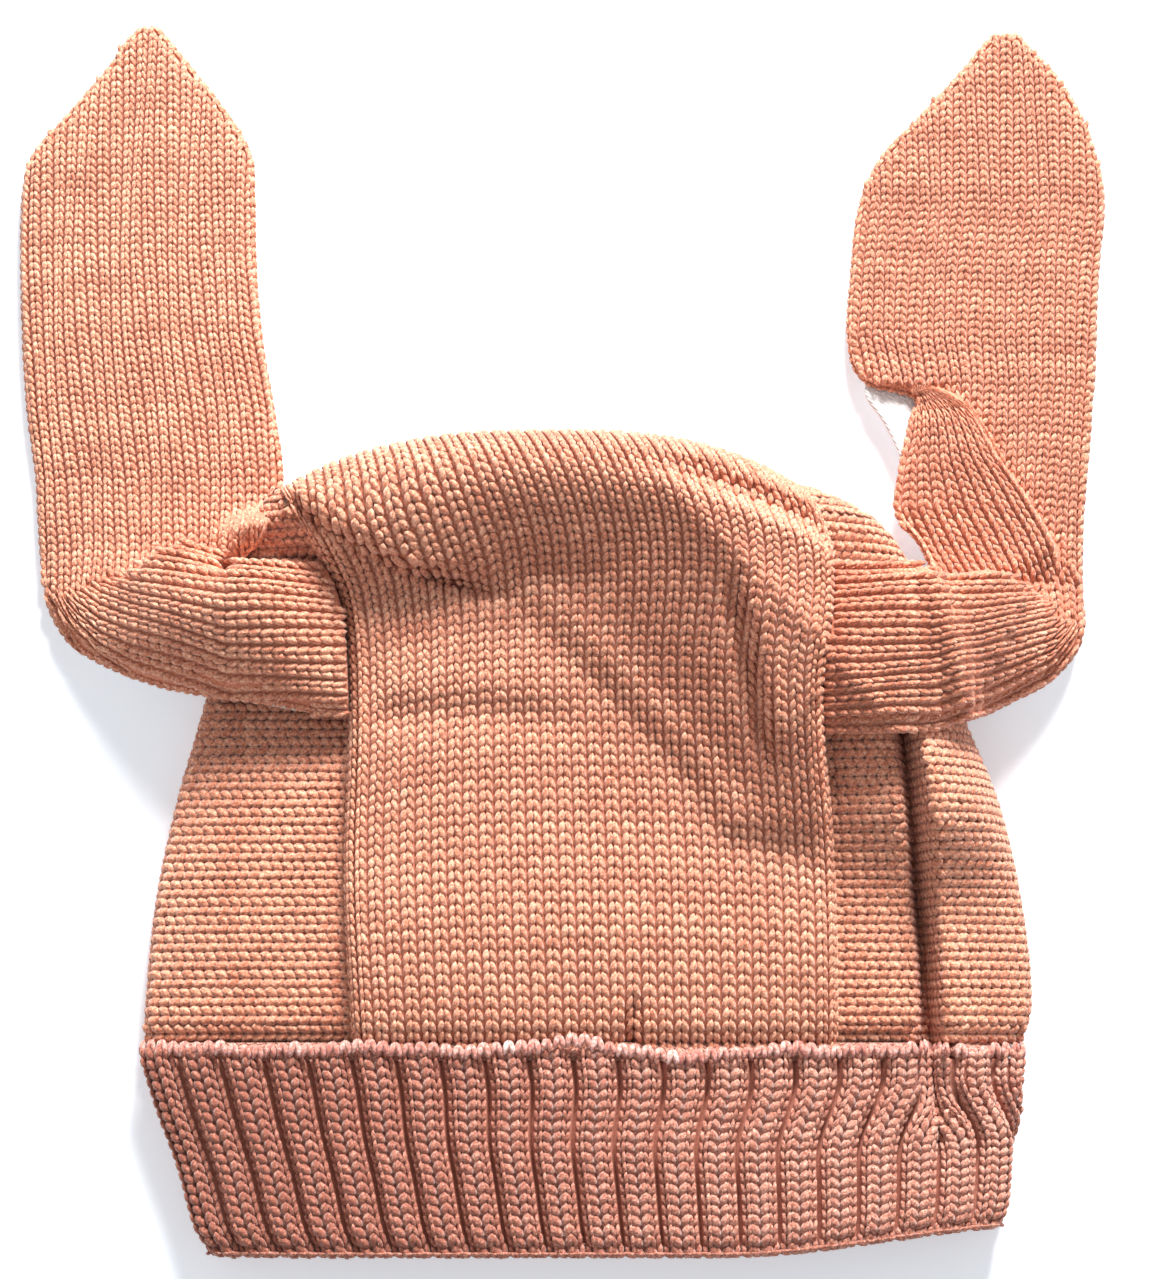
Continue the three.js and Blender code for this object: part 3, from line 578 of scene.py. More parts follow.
def mathNode(tree, operation, *values, clamp=False):
    return addNode(tree, "ShaderNodeMath", *values, operation=operation, use_clamp=clamp)[0]


def newGroup(name, kind, inputs, outputs):
    tree = bpy.data.node_groups.new(name, kind)
    for way, sockets in (("INPUT", inputs), ("OUTPUT", outputs)):
        for label, socket in sockets.items():
            tree.interface.new_socket(label, in_out=way, socket_type="NodeSocket" + socket)
    return tree, tree.nodes.new("NodeGroupInput").outputs, tree.nodes.new("NodeGroupOutput").inputs


# The tree that knits: a stitch on each seed, turned and sized by the seed's own values.
def knitTree():
    tree, given, result = newGroup(
        "knitStitches", "GeometryNodeTree",
        {"Seeds": "Geometry", "Stitch": "Object", "Yarn": "Material", "Looseness": "Float",
         "Tone Spread": "Float", "Seed": "Int"}, {"Knit": "Geometry"})

    def stored(kind, name):
        return addNode(tree, "GeometryNodeInputNamedAttribute", name, data_type=kind)["Attribute"]

    def chance(spread, offset):
        least, seed = mathNode(tree, "MULTIPLY", spread, -1), mathNode(tree, "ADD", given["Seed"], offset)
        limits = {2: least, 3: spread, "Seed": seed}
        return addNode(tree, "FunctionNodeRandomValue", at=limits, data_type="FLOAT")[1]

    shape = addNode(tree, "GeometryNodeObjectInfo", given["Stitch"])["Geometry"]
    turn = addNode(tree, "FunctionNodeEulerToRotation", stored("FLOAT_VECTOR", "turn"))[0]
    larger = mathNode(tree, "ADD", chance(given["Looseness"], 0), 1)
    size = addNode(tree, "ShaderNodeVectorMath", stored("FLOAT_VECTOR", "size"), at={"Scale": larger},
                   operation="SCALE")[0]
    knit = addNode(tree, "GeometryNodeInstanceOnPoints", given["Seeds"],
                   at={"Instance": shape, "Rotation": turn, "Scale": size})[0]
    tone = mathNode(tree, "ADD", stored("FLOAT", "tone"), chance(given["Tone Spread"], 7))
    knit = addNode(tree, "GeometryNodeStoreNamedAttribute", knit, at={"Name": "tone", "Value": tone},
                   data_type="FLOAT", domain="INSTANCE")[0]
    knit = addNode(tree, "GeometryNodeRealizeInstances", knit)[0]
    knit = addNode(tree, "GeometryNodeSetMaterial", knit, at={"Material": given["Yarn"]})[0]
    tree.links.new(knit, result[0])
    return tree


# Grows a tree on a mesh of points, and keeps the result as a plain mesh.
def grown(name, seeds, tree, settings):
    seeds["place"][:, 2] = np.maximum(seeds["place"][:, 2], 1.0)
    mesh = bpy.data.meshes.new(name + "Seeds")
    mesh.from_pydata(inFrame(seeds["place"]).tolist(), [], [])
    vector = ("FLOAT_VECTOR", "vector")
    for key, (kind, field) in {"turn": vector, "size": vector, "tone": ("FLOAT", "value")}.items():
        mesh.attributes.new(key, kind, "POINT").data.foreach_set(field, seeds[key].ravel())
    piece = addPiece(name, mesh)
    modifier = piece.modifiers.new("grow", "NODES")
    modifier.node_group = tree
    for socket in tree.interface.items_tree:
        if socket.name in settings:
            modifier[socket.identifier] = settings[socket.name]
    graph = bpy.context.evaluated_depsgraph_get()
    seen = piece.evaluated_get(graph)
    made = bpy.data.meshes.new_from_object(seen, preserve_all_data_layers=True, depsgraph=graph)
    piece.modifiers.remove(modifier)
    piece.data = made
    made.name = name
    print(name, len(made.polygons), "faces")
    return piece


# Tone of the cloth: each course has its own, and it drifts slowly along the course.
streaks = np.random.default_rng(11).normal(0, 1, 400)


def courseTone(courses, across, strength=0.05, phase=0):
    row = np.asarray(courses, int) + phase
    drift = np.sin(across * 7 + row * 0.9) * 0.5 + np.sin(across * 17 + row * 0.37) * 0.3
    return strength * (streaks[row % len(streaks)] * 0.7 + drift)


def noiseNode(tree, place, scale, detail):
    return addNode(tree, "ShaderNodeTexNoise", at={"Vector": place, "Scale": scale, "Detail": detail})["Fac"]


def mixColour(tree, factor, first, second):
    return addNode(tree, "ShaderNodeMix", at={0: factor, 6: first, 7: second}, data_type="RGBA")[2]


def objectPlace(tree):
    return addNode(tree, "ShaderNodeTexCoord")["Object"]


# Heathered yarn: three tones mixed by the stitch's own tone, by flecks and by fine fibres.
def heatherGroup():
    tree, given, out = newGroup(
        "heatherYarn", "ShaderNodeTree",
        {"Place": "Vector", "Tone": "Float", "Deep": "Color", "Middle": "Color", "Pale": "Color",
         "Fleck Scale": "Float", "Fleck Strength": "Float"}, {"Colour": "Color", "Fibre": "Float"})
    fleck = mathNode(tree, "SUBTRACT", noiseNode(tree, given["Place"], given["Fleck Scale"], 3.0), 0.5)
    fibre = noiseNode(tree, given["Place"], 4200.0, 2.0)
    value = mathNode(tree, "MULTIPLY_ADD", fleck, given["Fleck Strength"], given["Tone"])
    value = mathNode(tree, "MULTIPLY_ADD", mathNode(tree, "SUBTRACT", fibre, 0.5), 1.0, value)
    lower = mathNode(tree, "MULTIPLY", value, 2.0, clamp=True)
    upper = mathNode(tree, "MULTIPLY_ADD", value, 2.0, -1.0, clamp=True)
    colour = mixColour(tree, upper, mixColour(tree, lower, given["Deep"], given["Middle"]), given["Pale"])
    tree.links.new(colour, out["Colour"])
    tree.links.new(fibre, out["Fibre"])
    return tree


# Relief of plain knit where no stitches are modelled: two slanted legs in each cell of the map.
def reliefGroup():
    tree, given, out = newGroup("knitRelief", "ShaderNodeTree", {"Weave": "Vector"}, {"Relief": "Float"})
    across, along, _ = addNode(tree, "ShaderNodeSeparateXYZ", given["Weave"])
    wale = mathNode(tree, "SUBTRACT", mathNode(tree, "FRACT", across), 0.5)
    away = mathNode(tree, "MULTIPLY", mathNode(tree, "ABSOLUTE", wale), 2.0)
    climb = mathNode(tree, "FRACT", mathNode(tree, "MULTIPLY_ADD", away, -0.8, along))
    leg = mathNode(tree, "SINE", mathNode(tree, "MULTIPLY", climb, math.pi))
    apart = mathNode(tree, "SINE", mathNode(tree, "MULTIPLY", away, math.pi))
    tree.links.new(mathNode(tree, "MULTIPLY", leg, mathNode(tree, "POWER", apart, 0.5)), out["Relief"])
    return tree


def newMaterial(name, roughness, sheen, sheenTint):
    material = bpy.data.materials.new(name)
    material.use_nodes = True
    shader = material.node_tree.nodes["Principled BSDF"]
    for socket, value in (("Roughness", roughness), ("Specular IOR Level", 0.2), ("Sheen Weight", sheen),
                          ("Sheen Roughness", 0.45), ("Sheen Tint", (*sheenTint, 1))):
        shader.inputs[socket].default_value = value
    return material, material.node_tree, shader


def attributeValue(tree, name):
    return addNode(tree, "ShaderNodeAttribute", attribute_name=name)["Fac"]


def reliefOn(tree):
    weave = addNode(tree, "ShaderNodeUVMap", uv_map="weave")[0]
    return addNode(tree, "ShaderNodeGroup", node_tree=relief, at={"Weave": weave})["Relief"]


def bumped(tree, shader, height, strength, distance):
    bump = addNode(tree, "ShaderNodeBump", at={"Strength": strength, "Distance": distance, "Height": height})
    tree.links.new(bump["Normal"], shader.inputs["Normal"])


heather, relief = heatherGroup(), reliefGroup()
warmSheen = (1.0, 0.86, 0.78)
yarns = {
    "knit": dict(flecks=1900.0, deep=(0.42, 0.125, 0.066), middle=(0.76, 0.308, 0.188),
                 pale=(0.985, 0.6, 0.405)),
    "rib": dict(flecks=1900.0, deep=(0.33, 0.105, 0.068), middle=(0.61, 0.252, 0.176),
                pale=(0.9, 0.535, 0.41)),
    "seam": dict(flecks=1500.0, deep=(0.5, 0.16, 0.12), middle=(0.76, 0.34, 0.27), pale=(0.99, 0.72, 0.66)),
}


# Colours a material with heathered yarn, and gives back the height of its fibres.
def heathered(tree, shader, look, tone, fleckStrength):
    colours = {key.capitalize(): (*look[key], 1) for key in ("deep", "middle", "pale")}
    yarn = addNode(tree, "ShaderNodeGroup", node_tree=heather, at={
        "Place": objectPlace(tree), "Tone": tone, "Fleck Scale": look["flecks"],
        "Fleck Strength": fleckStrength, **colours})
    tree.links.new(yarn["Colour"], shader.inputs["Base Color"])
    return yarn["Fibre"]


# Yarn for modelled stitches.
def yarnMaterial(name, look):
    material, tree, shader = newMaterial(name, 0.92, 0.5, warmSheen)
    tone = mathNode(tree, "MULTIPLY_ADD", attributeValue(tree, "leg"), 0.03, attributeValue(tree, "tone"))
    bumped(tree, shader, heathered(tree, shader, look, tone, 2.4), 0.6, 0.0003)
    return material


# Cloth below the stitches, dark with painted shade where they cover it, with knitted relief where they don't,
# whose grooves are painted darker as shade.
def clothMaterial(name, look):
    material, tree, shader = newMaterial(name, 0.95, 0.3, warmSheen)
    bare = mathNode(tree, "SUBTRACT", 1.0, attributeValue(tree, "shadeUnderStitches"))
    raised = mathNode(tree, "MULTIPLY", reliefOn(tree), bare)
    heathered(tree, shader, look, mathNode(tree, "MULTIPLY_ADD", raised, 0.45, 0.26), 1.0)
    bumped(tree, shader, raised, 0.8, 0.0009)
    return material


def liningMaterial():
    material, tree, shader = newMaterial("liningJersey", 0.9, 0.25, (1, 1, 1))
    raised = reliefOn(tree)
    soft = mathNode(tree, "MULTIPLY", noiseNode(tree, objectPlace(tree), 260.0, 3.0), 0.6)
    # Painted shade: the jersey is greyer in the grooves of its relief and paler on its raised legs; the noise
    # adds random tone.
    factor = mathNode(tree, "MULTIPLY_ADD", raised, 0.35, soft, clamp=True)
    colour = mixColour(tree, factor, (0.74, 0.72, 0.71, 1), (0.93, 0.92, 0.91, 1))
    tree.links.new(colour, shader.inputs["Base Color"])
    bumped(tree, shader, raised, 0.5, 0.0004)
    return material


knitYarn, ribYarn, seamYarn = (yarnMaterial(key + "Yarn", look) for key, look in yarns.items())
knitCloth, ribCloth = (clothMaterial(key + "Cloth", yarns[key]) for key in ("knit", "rib"))
lining = liningMaterial()
knitting = knitTree()
shapes = {name: stitchShape(name, look) for name, look in stitchLooks.items()}
print("materials and stitches ready")


def knitOn(name, seeds, shape="plainStitch", yarn=knitYarn, looseness=0.07, toneSpread=0.08, seed=1):
    return grown(name, seeds, knitting, {"Stitch": shapes[shape], "Yarn": yarn, "Looseness": looseness,
                                         "Tone Spread": toneSpread, "Seed": seed})


def halved(places):
    return np.sort(np.concatenate([places, (places[1:] + places[:-1]) / 2]))


def makeCentre():
    def middleLine(t):
        return centreSurface(t, np.full(t.shape, 0.5))
    topRows = evenPlaces(middleLine, 0, 1, centreLook["courseHigh"], centreLook["crownCourse"])
    noseRows = evenPlaces(middleLine, 1, centreLook["knittedTo"], centreLook["crownCourse"])
    backRows = np.linspace(noseRows[-1], 2, centreLook["underRows"])
    rows = np.concatenate([halved(np.concatenate([topRows, noseRows[1:]])), backRows[1:]])
    columns = np.linspace(0, 1, 4 * centreLook["wales"] + 1)
    along, across = np.meshgrid(rows, columns, indexing="ij")
    surface = centreSurface(along, across)
    outer, inner = insideOf(surface, pileDepth), insideOf(surface, pileDepth + centreLook["baseWall"])
    shade = np.repeat((rows <= noseRows[-1]).astype(float)[:, None], len(columns), 1)
    base = clothSheet("crown_centre", knitCloth, outer, inner, (0.25, 0.5), shade=shade)
    knitted = np.concatenate([[2 * topRows[0] - topRows[1]], topRows, noseRows[1:]])
    middles = (knitted[1:] + knitted[:-1]) / 2
    wales = (np.arange(centreLook["wales"]) + 0.5) / centreLook["wales"]
    split = int(len(middles) * centreLook["frontShare"])
    slumpEdge = (slumpSlope["start"], slumpSlope["start"] + 4)
    parts = []
    for part, rowsOf, seed in (("front", slice(0, split), 3), ("crown", slice(split, None), 4)):
        a, b = np.meshgrid(middles[rowsOf], wales, indexing="ij")
        step = np.repeat(np.diff(knitted)[rowsOf][:, None], len(wales), 1)
        seeds = seedsOn(centreSurface, a, b, step, 1 / centreLook["wales"])
        course = np.repeat(np.arange(len(middles))[rowsOf][:, None], len(wales), 1)
        # Painted shade: stitches on the slumped bulk, whose slope turns away from the key light, are made
        # darker.
        inSlumpShade = smooth(slumpLoft(seeds["place"][:, 0], seeds["place"][:, 1]), *slumpEdge)
        tone = centreLook["tone"] + courseTone(course, b, centreLook["streak"])
        seeds["tone"] = tone.ravel() + centreLook["slumpPaintedShade"] * inSlumpShade
        parts.append(knitOn("centre_stitches_" + part, seeds, seed=seed))
    return base, parts


def makeSide(side):
    name = sideNames[side]
    end = sideLook["end"] * crownLong
    wales = round((end - panelStart) / sideLook["waleWide"])
    ys = np.linspace(panelStart, end, 4 * wales + 1)

    # Every wale has its own evenly spaced stitches, so that they keep their size where the panel narrows.
    def courseRows(y):
        def line(t):
            return sideSurface(side, np.full(t.shape, y), t)
        top, fold = (evenPlaces(line, low, high, sideLook["courseHigh"])
                     for low, high in ((0, 1), (1, sideLook["knittedTo"])))
        return np.concatenate([top, fold[1:]])

    knitted = courseRows(sideLook["measuredAt"] * crownLong)
    rows = np.concatenate([halved(knitted), np.linspace(knitted[-1], 2, sideLook["underRows"])[1:]])
    y, around = np.meshgrid(ys, rows, indexing="ij")
    outer, inner = (sideSurface(side, y, around, inset) for inset in (pileDepth, hat["knitWall"]))
    shade = np.repeat((rows <= knitted[-1]).astype(float)[None, :], len(ys), 0)
    base = clothSheet("crown_side_" + name, knitCloth, outer, inner, (0.5, 0.25), shade=shade)
    wale = []
    for waleY in lerp(panelStart, end, (np.arange(wales) + 0.5) / wales):
        line = courseRows(waleY)
        count = len(line) - 1
        wale.append(((line[1:] + line[:-1]) / 2, np.full(count, waleY), np.diff(line), np.arange(count)))
    a, b, step, course = (np.concatenate(parts) for parts in zip(*wale))

    def surface(along, across):
        return sideSurface(side, np.clip(across, panelStart, end), along)
    seeds = seedsOn(surface, a, b, step, -side * sideLook["waleWide"])
    seeds["tone"] = sideLook["tone"] + courseTone(course, b / 40, sideLook["streak"], 120)
    seeds["size"][:, 2] *= sideLook["flatten"]
    stitches = knitOn("side_stitches_" + name, seeds, "sideStitch", toneSpread=sideLook["toneSpread"],
                      seed=5 + side)
    return base, stitches


# The ears. Root rows run from the panel seam to the bend's inner corner, bend rows swing round it,
# and stand rows give both edges up to the tip. Across is in shares of earWidth, up of earStand.
rootColumns = "run inner outer liftIn liftOut puff peekOut splay"
bendColumns = "across up liftIn liftOut puff bow"
standColumns = "up inner outer puff liftIn peekIn peekOut"
leftEar = {
    "name": "left", "side": -1, "corner": 0.775, "offset": 0.02, "tone": 0.47, "overCrown": 3,
    "bendKeep": (0.5, 1.0), "straightBelow": (0.3, -0.15),
    "elbow": [(-0.2, 0.0), (0.0, 0.0), (0.214, 0.092), (0.424, 0.176), (0.571, 0.26), (0.697, 0.386),
              (0.8, 0.58)],
    "root": table(
        rootColumns, (0.0, 0.02, -0.6, 1.5, 1.4, 0.4), (0.25, 0.03, -0.59, 1.55, 1.45, 0.62, 0.05),
        (0.55, 0.03, -0.56, 1.6, 1.5, 0.85, 0.07), (0.9, 0.02, -0.52, 1.6, 1.45, 0.95, 0.0, 0.12)),
    "bend": table(
        bendColumns, (0.29, -0.47, 1.5, 1.0, 1.0), (0.52, -0.38, 1.25, 0.55, 0.95, 0.02),
        (0.7, -0.27, 1.0, 0.15, 0.85, 0.05), (0.79, -0.14, 0.75, 0.0, 0.7, 0.1),
        (0.82, -0.02, 0.5, 0.0, 0.45, 0.14)),
    "stand": table(
        standColumns, (0.055, -0.13, 0.84, 0.2, 0.25), (0.12, -0.14, 0.855, 0.16, 0.1),
        (0.18, -0.17, 0.865, 0.16, 0.0, 0.02), (0.3, -0.13, 0.91, 0.2, 0.0, 0.02), (0.44, -0.07, 0.94, 0.2),
        (0.58, -0.04, 0.955, 0.2), (0.7, -0.03, 0.955, 0.2), (0.765, -0.015, 0.92, 0.2),
        (0.84, 0.09, 0.77, 0.16), (0.92, 0.24, 0.61, 0.12), (0.975, 0.35, 0.52, 0.06), (1.0, 0.4, 0.46, 0.0)),
    "folds": table(
        foldColumns,
        ([(-0.6, 0.03), (-0.06, 0.02), (0.076, 0.075), (0.223, 0.09), (0.34, 0.04), (0.466, -0.01),
          (0.6, -0.05)],
         0.05, 0.62, 0.035, 0.3, 0.5, 0.35, 0.07, True)),
}
rightEar = {
    # Its tone is lower than the left ear's: painted shade that darkens the whole right ear against the key
    # light.
    "name": "right", "side": 1, "corner": 0.765, "offset": 0.05, "tone": 0.27, "overCrown": 7,
    "bendKeep": (0.2, 1.0), "straightBelow": (0.37, -0.27),
    "elbow": [(-0.3, 0.0), (-0.04, 0.02), (0.172, 0.1), (0.34, 0.176), (0.508, 0.26), (0.613, 0.386),
              (0.7, 0.62)],
    "root": table(
        rootColumns, (0.0, 0.02, -0.67, 1.5, 1.4, 0.35), (0.25, 0.02, -0.67, 1.55, 1.45, 0.6),
        (0.6, 0.02, -0.67, 1.6, 1.5, 0.9), (0.9, 0.01, -0.65, 1.6, 1.5, 1.0)),
    "bend": table(
        bendColumns, (0.14, -0.6, 1.6, 1.35, 1.1), (0.32, -0.51, 1.4, 1.0, 1.1),
        (0.5, -0.41, 1.2, 0.65, 1.05), (0.62, -0.28, 1.0, 0.4, 0.95), (0.66, -0.16, 0.85, 0.2, 0.8),
        (0.655, -0.05, 0.75, 0.1, 0.5)),
    "stand": table(
        standColumns, (0.06, -0.03, 0.66, 0.25, 0.6), (0.13, -0.12, 0.67, 0.25, 0.55),
        (0.21, -0.1, 0.69, 0.25, 0.5), (0.285, -0.06, 0.71, 0.25, 0.45, 0.11),
        (0.335, -0.04, 0.72, 0.2, 0.4, 0.21), (0.365, -0.25, 0.73, 0.3, 0.3), (0.44, -0.31, 0.74, 0.25, 0.1),
        (0.57, -0.29, 0.76, 0.2), (0.69, -0.25, 0.79, 0.2), (0.77, -0.16, 0.765, 0.18),
        (0.84, 0.0, 0.71, 0.14, 0.0, 0.0, 0.02), (0.92, 0.18, 0.6, 0.1, 0.0, 0.0, 0.03),
        (0.975, 0.29, 0.48, 0.05, 0.0, 0.0, 0.03), (1.0, 0.35, 0.43, 0.0)),
    "folds": table(
        foldColumns,
        ([(-0.6, 0.02), (-0.1, 0.0), (0.042, -0.01), (0.244, -0.012), (0.407, -0.03), (0.508, -0.12),
          (0.575, -0.19)],
         0.05, 0.55, 0.035, 0.28, 0.45, 0.4, 0.06, True),
        ([(-0.02, 0.87), (0.13, 0.8), (0.193, 0.72), (0.294, 0.53), (0.407, 0.37), (0.508, 0.21),
          (0.6, 0.06)],
         0.03, 0.36, 0.035, 0.4, 0.12, 0.15, 0.03, True),
        ([(-0.36, 0.83), (-0.28, 0.78), (-0.1, 0.81)], 0.15, 0.25, 0.03, 0.1, 0.05, 0.3, 0.03)),
    # the raised strip: its edges across, at places up, both in shares of earWidth
    "strip": {"inner": ([-0.1, 0.15, 0.32, 0.5, 0.62, 0.86], [0.05, -0.08, -0.15, -0.12, -0.08, -0.04]),
              "outer": ([0.0, 0.21, 0.37, 0.53, 0.72, 0.87], [0.6, 0.51, 0.41, 0.29, 0.19, 0.0])},
}
earLook = {
    "wales": 20, "course": 1.8, "rootWale": 3.35, "rootWales": 12, "rootCourse": 2.45, "stripWales": 9,
    "streak": 0.07, "edgeDrop": 0.8, "edgeReach": 2.4, "edgePitch": 2.3, "edgeWide": 2.0, "edgeTone": 0.42,
    "edgeUp": 1.1, "edgeLean": 0.45, "crestShade": 0.22, "crestWide": 3.0, "cornerSpread": 0.06,
    "archPower": 0.95, "crownEase": (-3, 12), "crownEnd": (0.84, 0.92), "crownInset": 6, "clearBlend": 3.0,
    "rowLong": 0.9, "columns": 61,
}


# Both edges of an ear along its middle line, which is the key.
def layEar(ear):
    side, width = ear["side"], hat["earWidth"]
    cornerY = ear["corner"] * crownLong
    cornerX = float(outlineX(side, cornerY)) + side * ear["offset"] * width
    rows = []
    for row in ear["root"]:
        innerY, outerY = cornerY + row["inner"] * width, cornerY + row["outer"] * width
        gap = side * hat["pieceGap"] * 2
        innerX, outerX = (lerp(float(seamAt(side, y)) + gap, cornerX, row["run"]) for y in (innerY, outerY))
        rows.append((innerX, innerY, outerX + side * row.get("splay", 0) * width, outerY))
    for i, row in enumerate(ear["bend"]):
        t = (i + 1) / (len(ear["bend"]) + 1)
        spread = earLook["cornerSpread"] * width
        rows.append((cornerX + side * spread * math.sin(t * math.pi) * 0.6, cornerY + spread * (t - 0.5),
                     cornerX + side * row["across"] * width, cornerY + row["up"] * width))
    for row in ear["stand"]:
        y = cornerY + row["up"] * hat["earStand"]
        rows.append((cornerX + side * row["inner"] * width, y, cornerX + side * row["outer"] * width, y))
    edges = np.array(rows)
    middle = (edges[:, :2] + edges[:, 2:]) / 2
    keys = np.concatenate([[0], np.cumsum(np.linalg.norm(np.diff(middle, axis=0), axis=1))])
    tables = ear["root"] + ear["bend"] + ear["stand"]
    fields = dict(innerX=edges[:, 0], innerY=edges[:, 1], outerX=edges[:, 2], outerY=edges[:, 3])
    for key in ("liftIn", "liftOut", "puff", "bow", "peekIn", "peekOut"):
        fields[key] = np.array([row.get(key, 0.0) for row in tables])
    ear.update(keys=keys, fields=fields, cornerX=cornerX, cornerY=cornerY, rootLength=keys[2],
               rootX=lambda u: lerp(edges[0, 0], edges[0, 2], u))


def earRow(ear, v):
    return {key: alongRows(ear["keys"], values, v) for key, values in ear["fields"].items()}


def earFloor(ear, v, u):
    side, width, row = ear["side"], hat["earWidth"], earRow(ear, v)
    x = lerp(row["innerX"], row["outerX"], u)
    # The bow is strongest near the inner edge.
    bow = row["bow"] * width * np.sin(math.pi * np.clip(u, 0, 1)) * (1 - 1.4 * u)
    y = lerp(row["innerY"], row["outerY"], u) + bow
    # The root starts along the curved seam.
    seam = seamAt(side, y) + side * 0.5 * hat["pieceGap"]
    x = lerp(x, seam + (x - ear["rootX"](u)), 1 - smooth(v, 0, ear["rootLength"]))
    lift = lerp(row["liftIn"], row["liftOut"], u) * hat["panelStep"]
    edge = side * outlineX(side, y)
    crownEnd = [share * crownLong for share in earLook["crownEnd"]]
    onCrown = (1 - smooth(side * x - edge, *earLook["crownEase"])) * (1 - smooth(y, *crownEnd))
    under = sideTop(side, side * np.minimum(side * x, edge - earLook["crownInset"]), y, pleated=False)
    clear = (under + hat["pieceGap"] * ear["overCrown"]) * onCrown
    return x, y, np.maximum(higher(lift, clear, earLook["clearBlend"]), 0), row


def earTop(ear, v, u):
    side, width = ear["side"], hat["earWidth"]
    x, y, floor, row = earFloor(ear, v, u)
    section = np.maximum(4 * u * (1 - u), 0)
    arch = hat["earPuff"] * np.maximum(row["puff"], 0) * section ** earLook["archPower"]
    shift = foldShift(ear["folds"], side * (x - ear["cornerX"]), y - ear["cornerY"], width, width)
    span = np.hypot(row["outerX"] - row["innerX"], row["outerY"] - row["innerY"])
    fromEdge = np.maximum(np.minimum(u, 1 - u), 0) * span
    drop = earLook["edgeDrop"] * (1 - smooth(fromEdge, 0, earLook["edgeReach"]))
    soft = np.sqrt(section)
    level = floor + hat["liningWall"] + hat["earGap"] + hat["earWall"] + arch + shift[..., 2] * soft - drop
    return stacked(x + side * shift[..., 0] * soft, y + shift[..., 1] * soft, level)


# Which side of a fold's path points are on: above nothing on the lip's side.
def besideFold(fold, x, y):
    across = nearestOn(fold["path"], x, y, hat["earWidth"], hat["earWidth"])[1]
    return -across if fold.get("flip") else across


# An ear's stitches are laid out as they're seen from above: level wales on the root, upright ones on the
# stand, which go in below the root's turned edge, and slanted ones on the right ear's raised strip.
def earPlans(ear):
    side, width, cornerX, cornerY = ear["side"], hat["earWidth"], ear["cornerX"], ear["cornerY"]
    shares, rises = (np.array(column) for column in zip(*ear["elbow"]))
    ups = np.array([row["up"] for row in ear["stand"]]) * hat["earStand"]
    left, right = (np.array([row[key] for row in ear["stand"]]) * width for key in ("inner", "outer"))
    level, held = ear["straightBelow"]
    left = np.where(ups < level * hat["earStand"], held * width, left)
    flat = ups < 0.72 * hat["earStand"]  # above it the wales run straight up and off the pointed tip
    ups, left, right = ups[flat], left[flat], right[flat]

    def shade(x, y):
        turned = ear["folds"][0]
        over = besideFold(turned, side * (x - cornerX), y - cornerY) + turned["lean"] * width
        dark = np.exp(-((over / earLook["crestWide"]) ** 2))
        return -earLook["crestShade"] * dark * (side * (x - cornerX) > 0)

    def root(along, wale):
        rise = np.interp(along / width, shares, rises) * width
        depth = np.clip(wale / 9.5, 0, 1)
        keep = lerp(ear["bendKeep"][0], ear["bendKeep"][1], depth)
        y = cornerY + 0.03 * width - earLook["rootWale"] * wale + keep * rise
        return cornerX + side * along, y + 0.4 * np.sin(along / 9 + wale)

    def stand(y, wale):
        inner, outer = np.interp(y - cornerY, ups, left), np.interp(y - cornerY, ups, right)
        x = lerp(inner, outer, wale / earLook["wales"]) + 0.35 * np.sin(y / 13 + 1.3 * wale)
        return cornerX + side * x, y + 0.25 * np.sin(wale * 0.9)

    def strip(y, wale):
        inner, outer = (np.interp((y - cornerY) / width, *ear["strip"][key]) for key in ("inner", "outer"))
        return cornerX + side * lerp(inner, outer, wale / earLook["stripWales"]) * width, y
    return root, stand, strip, shade


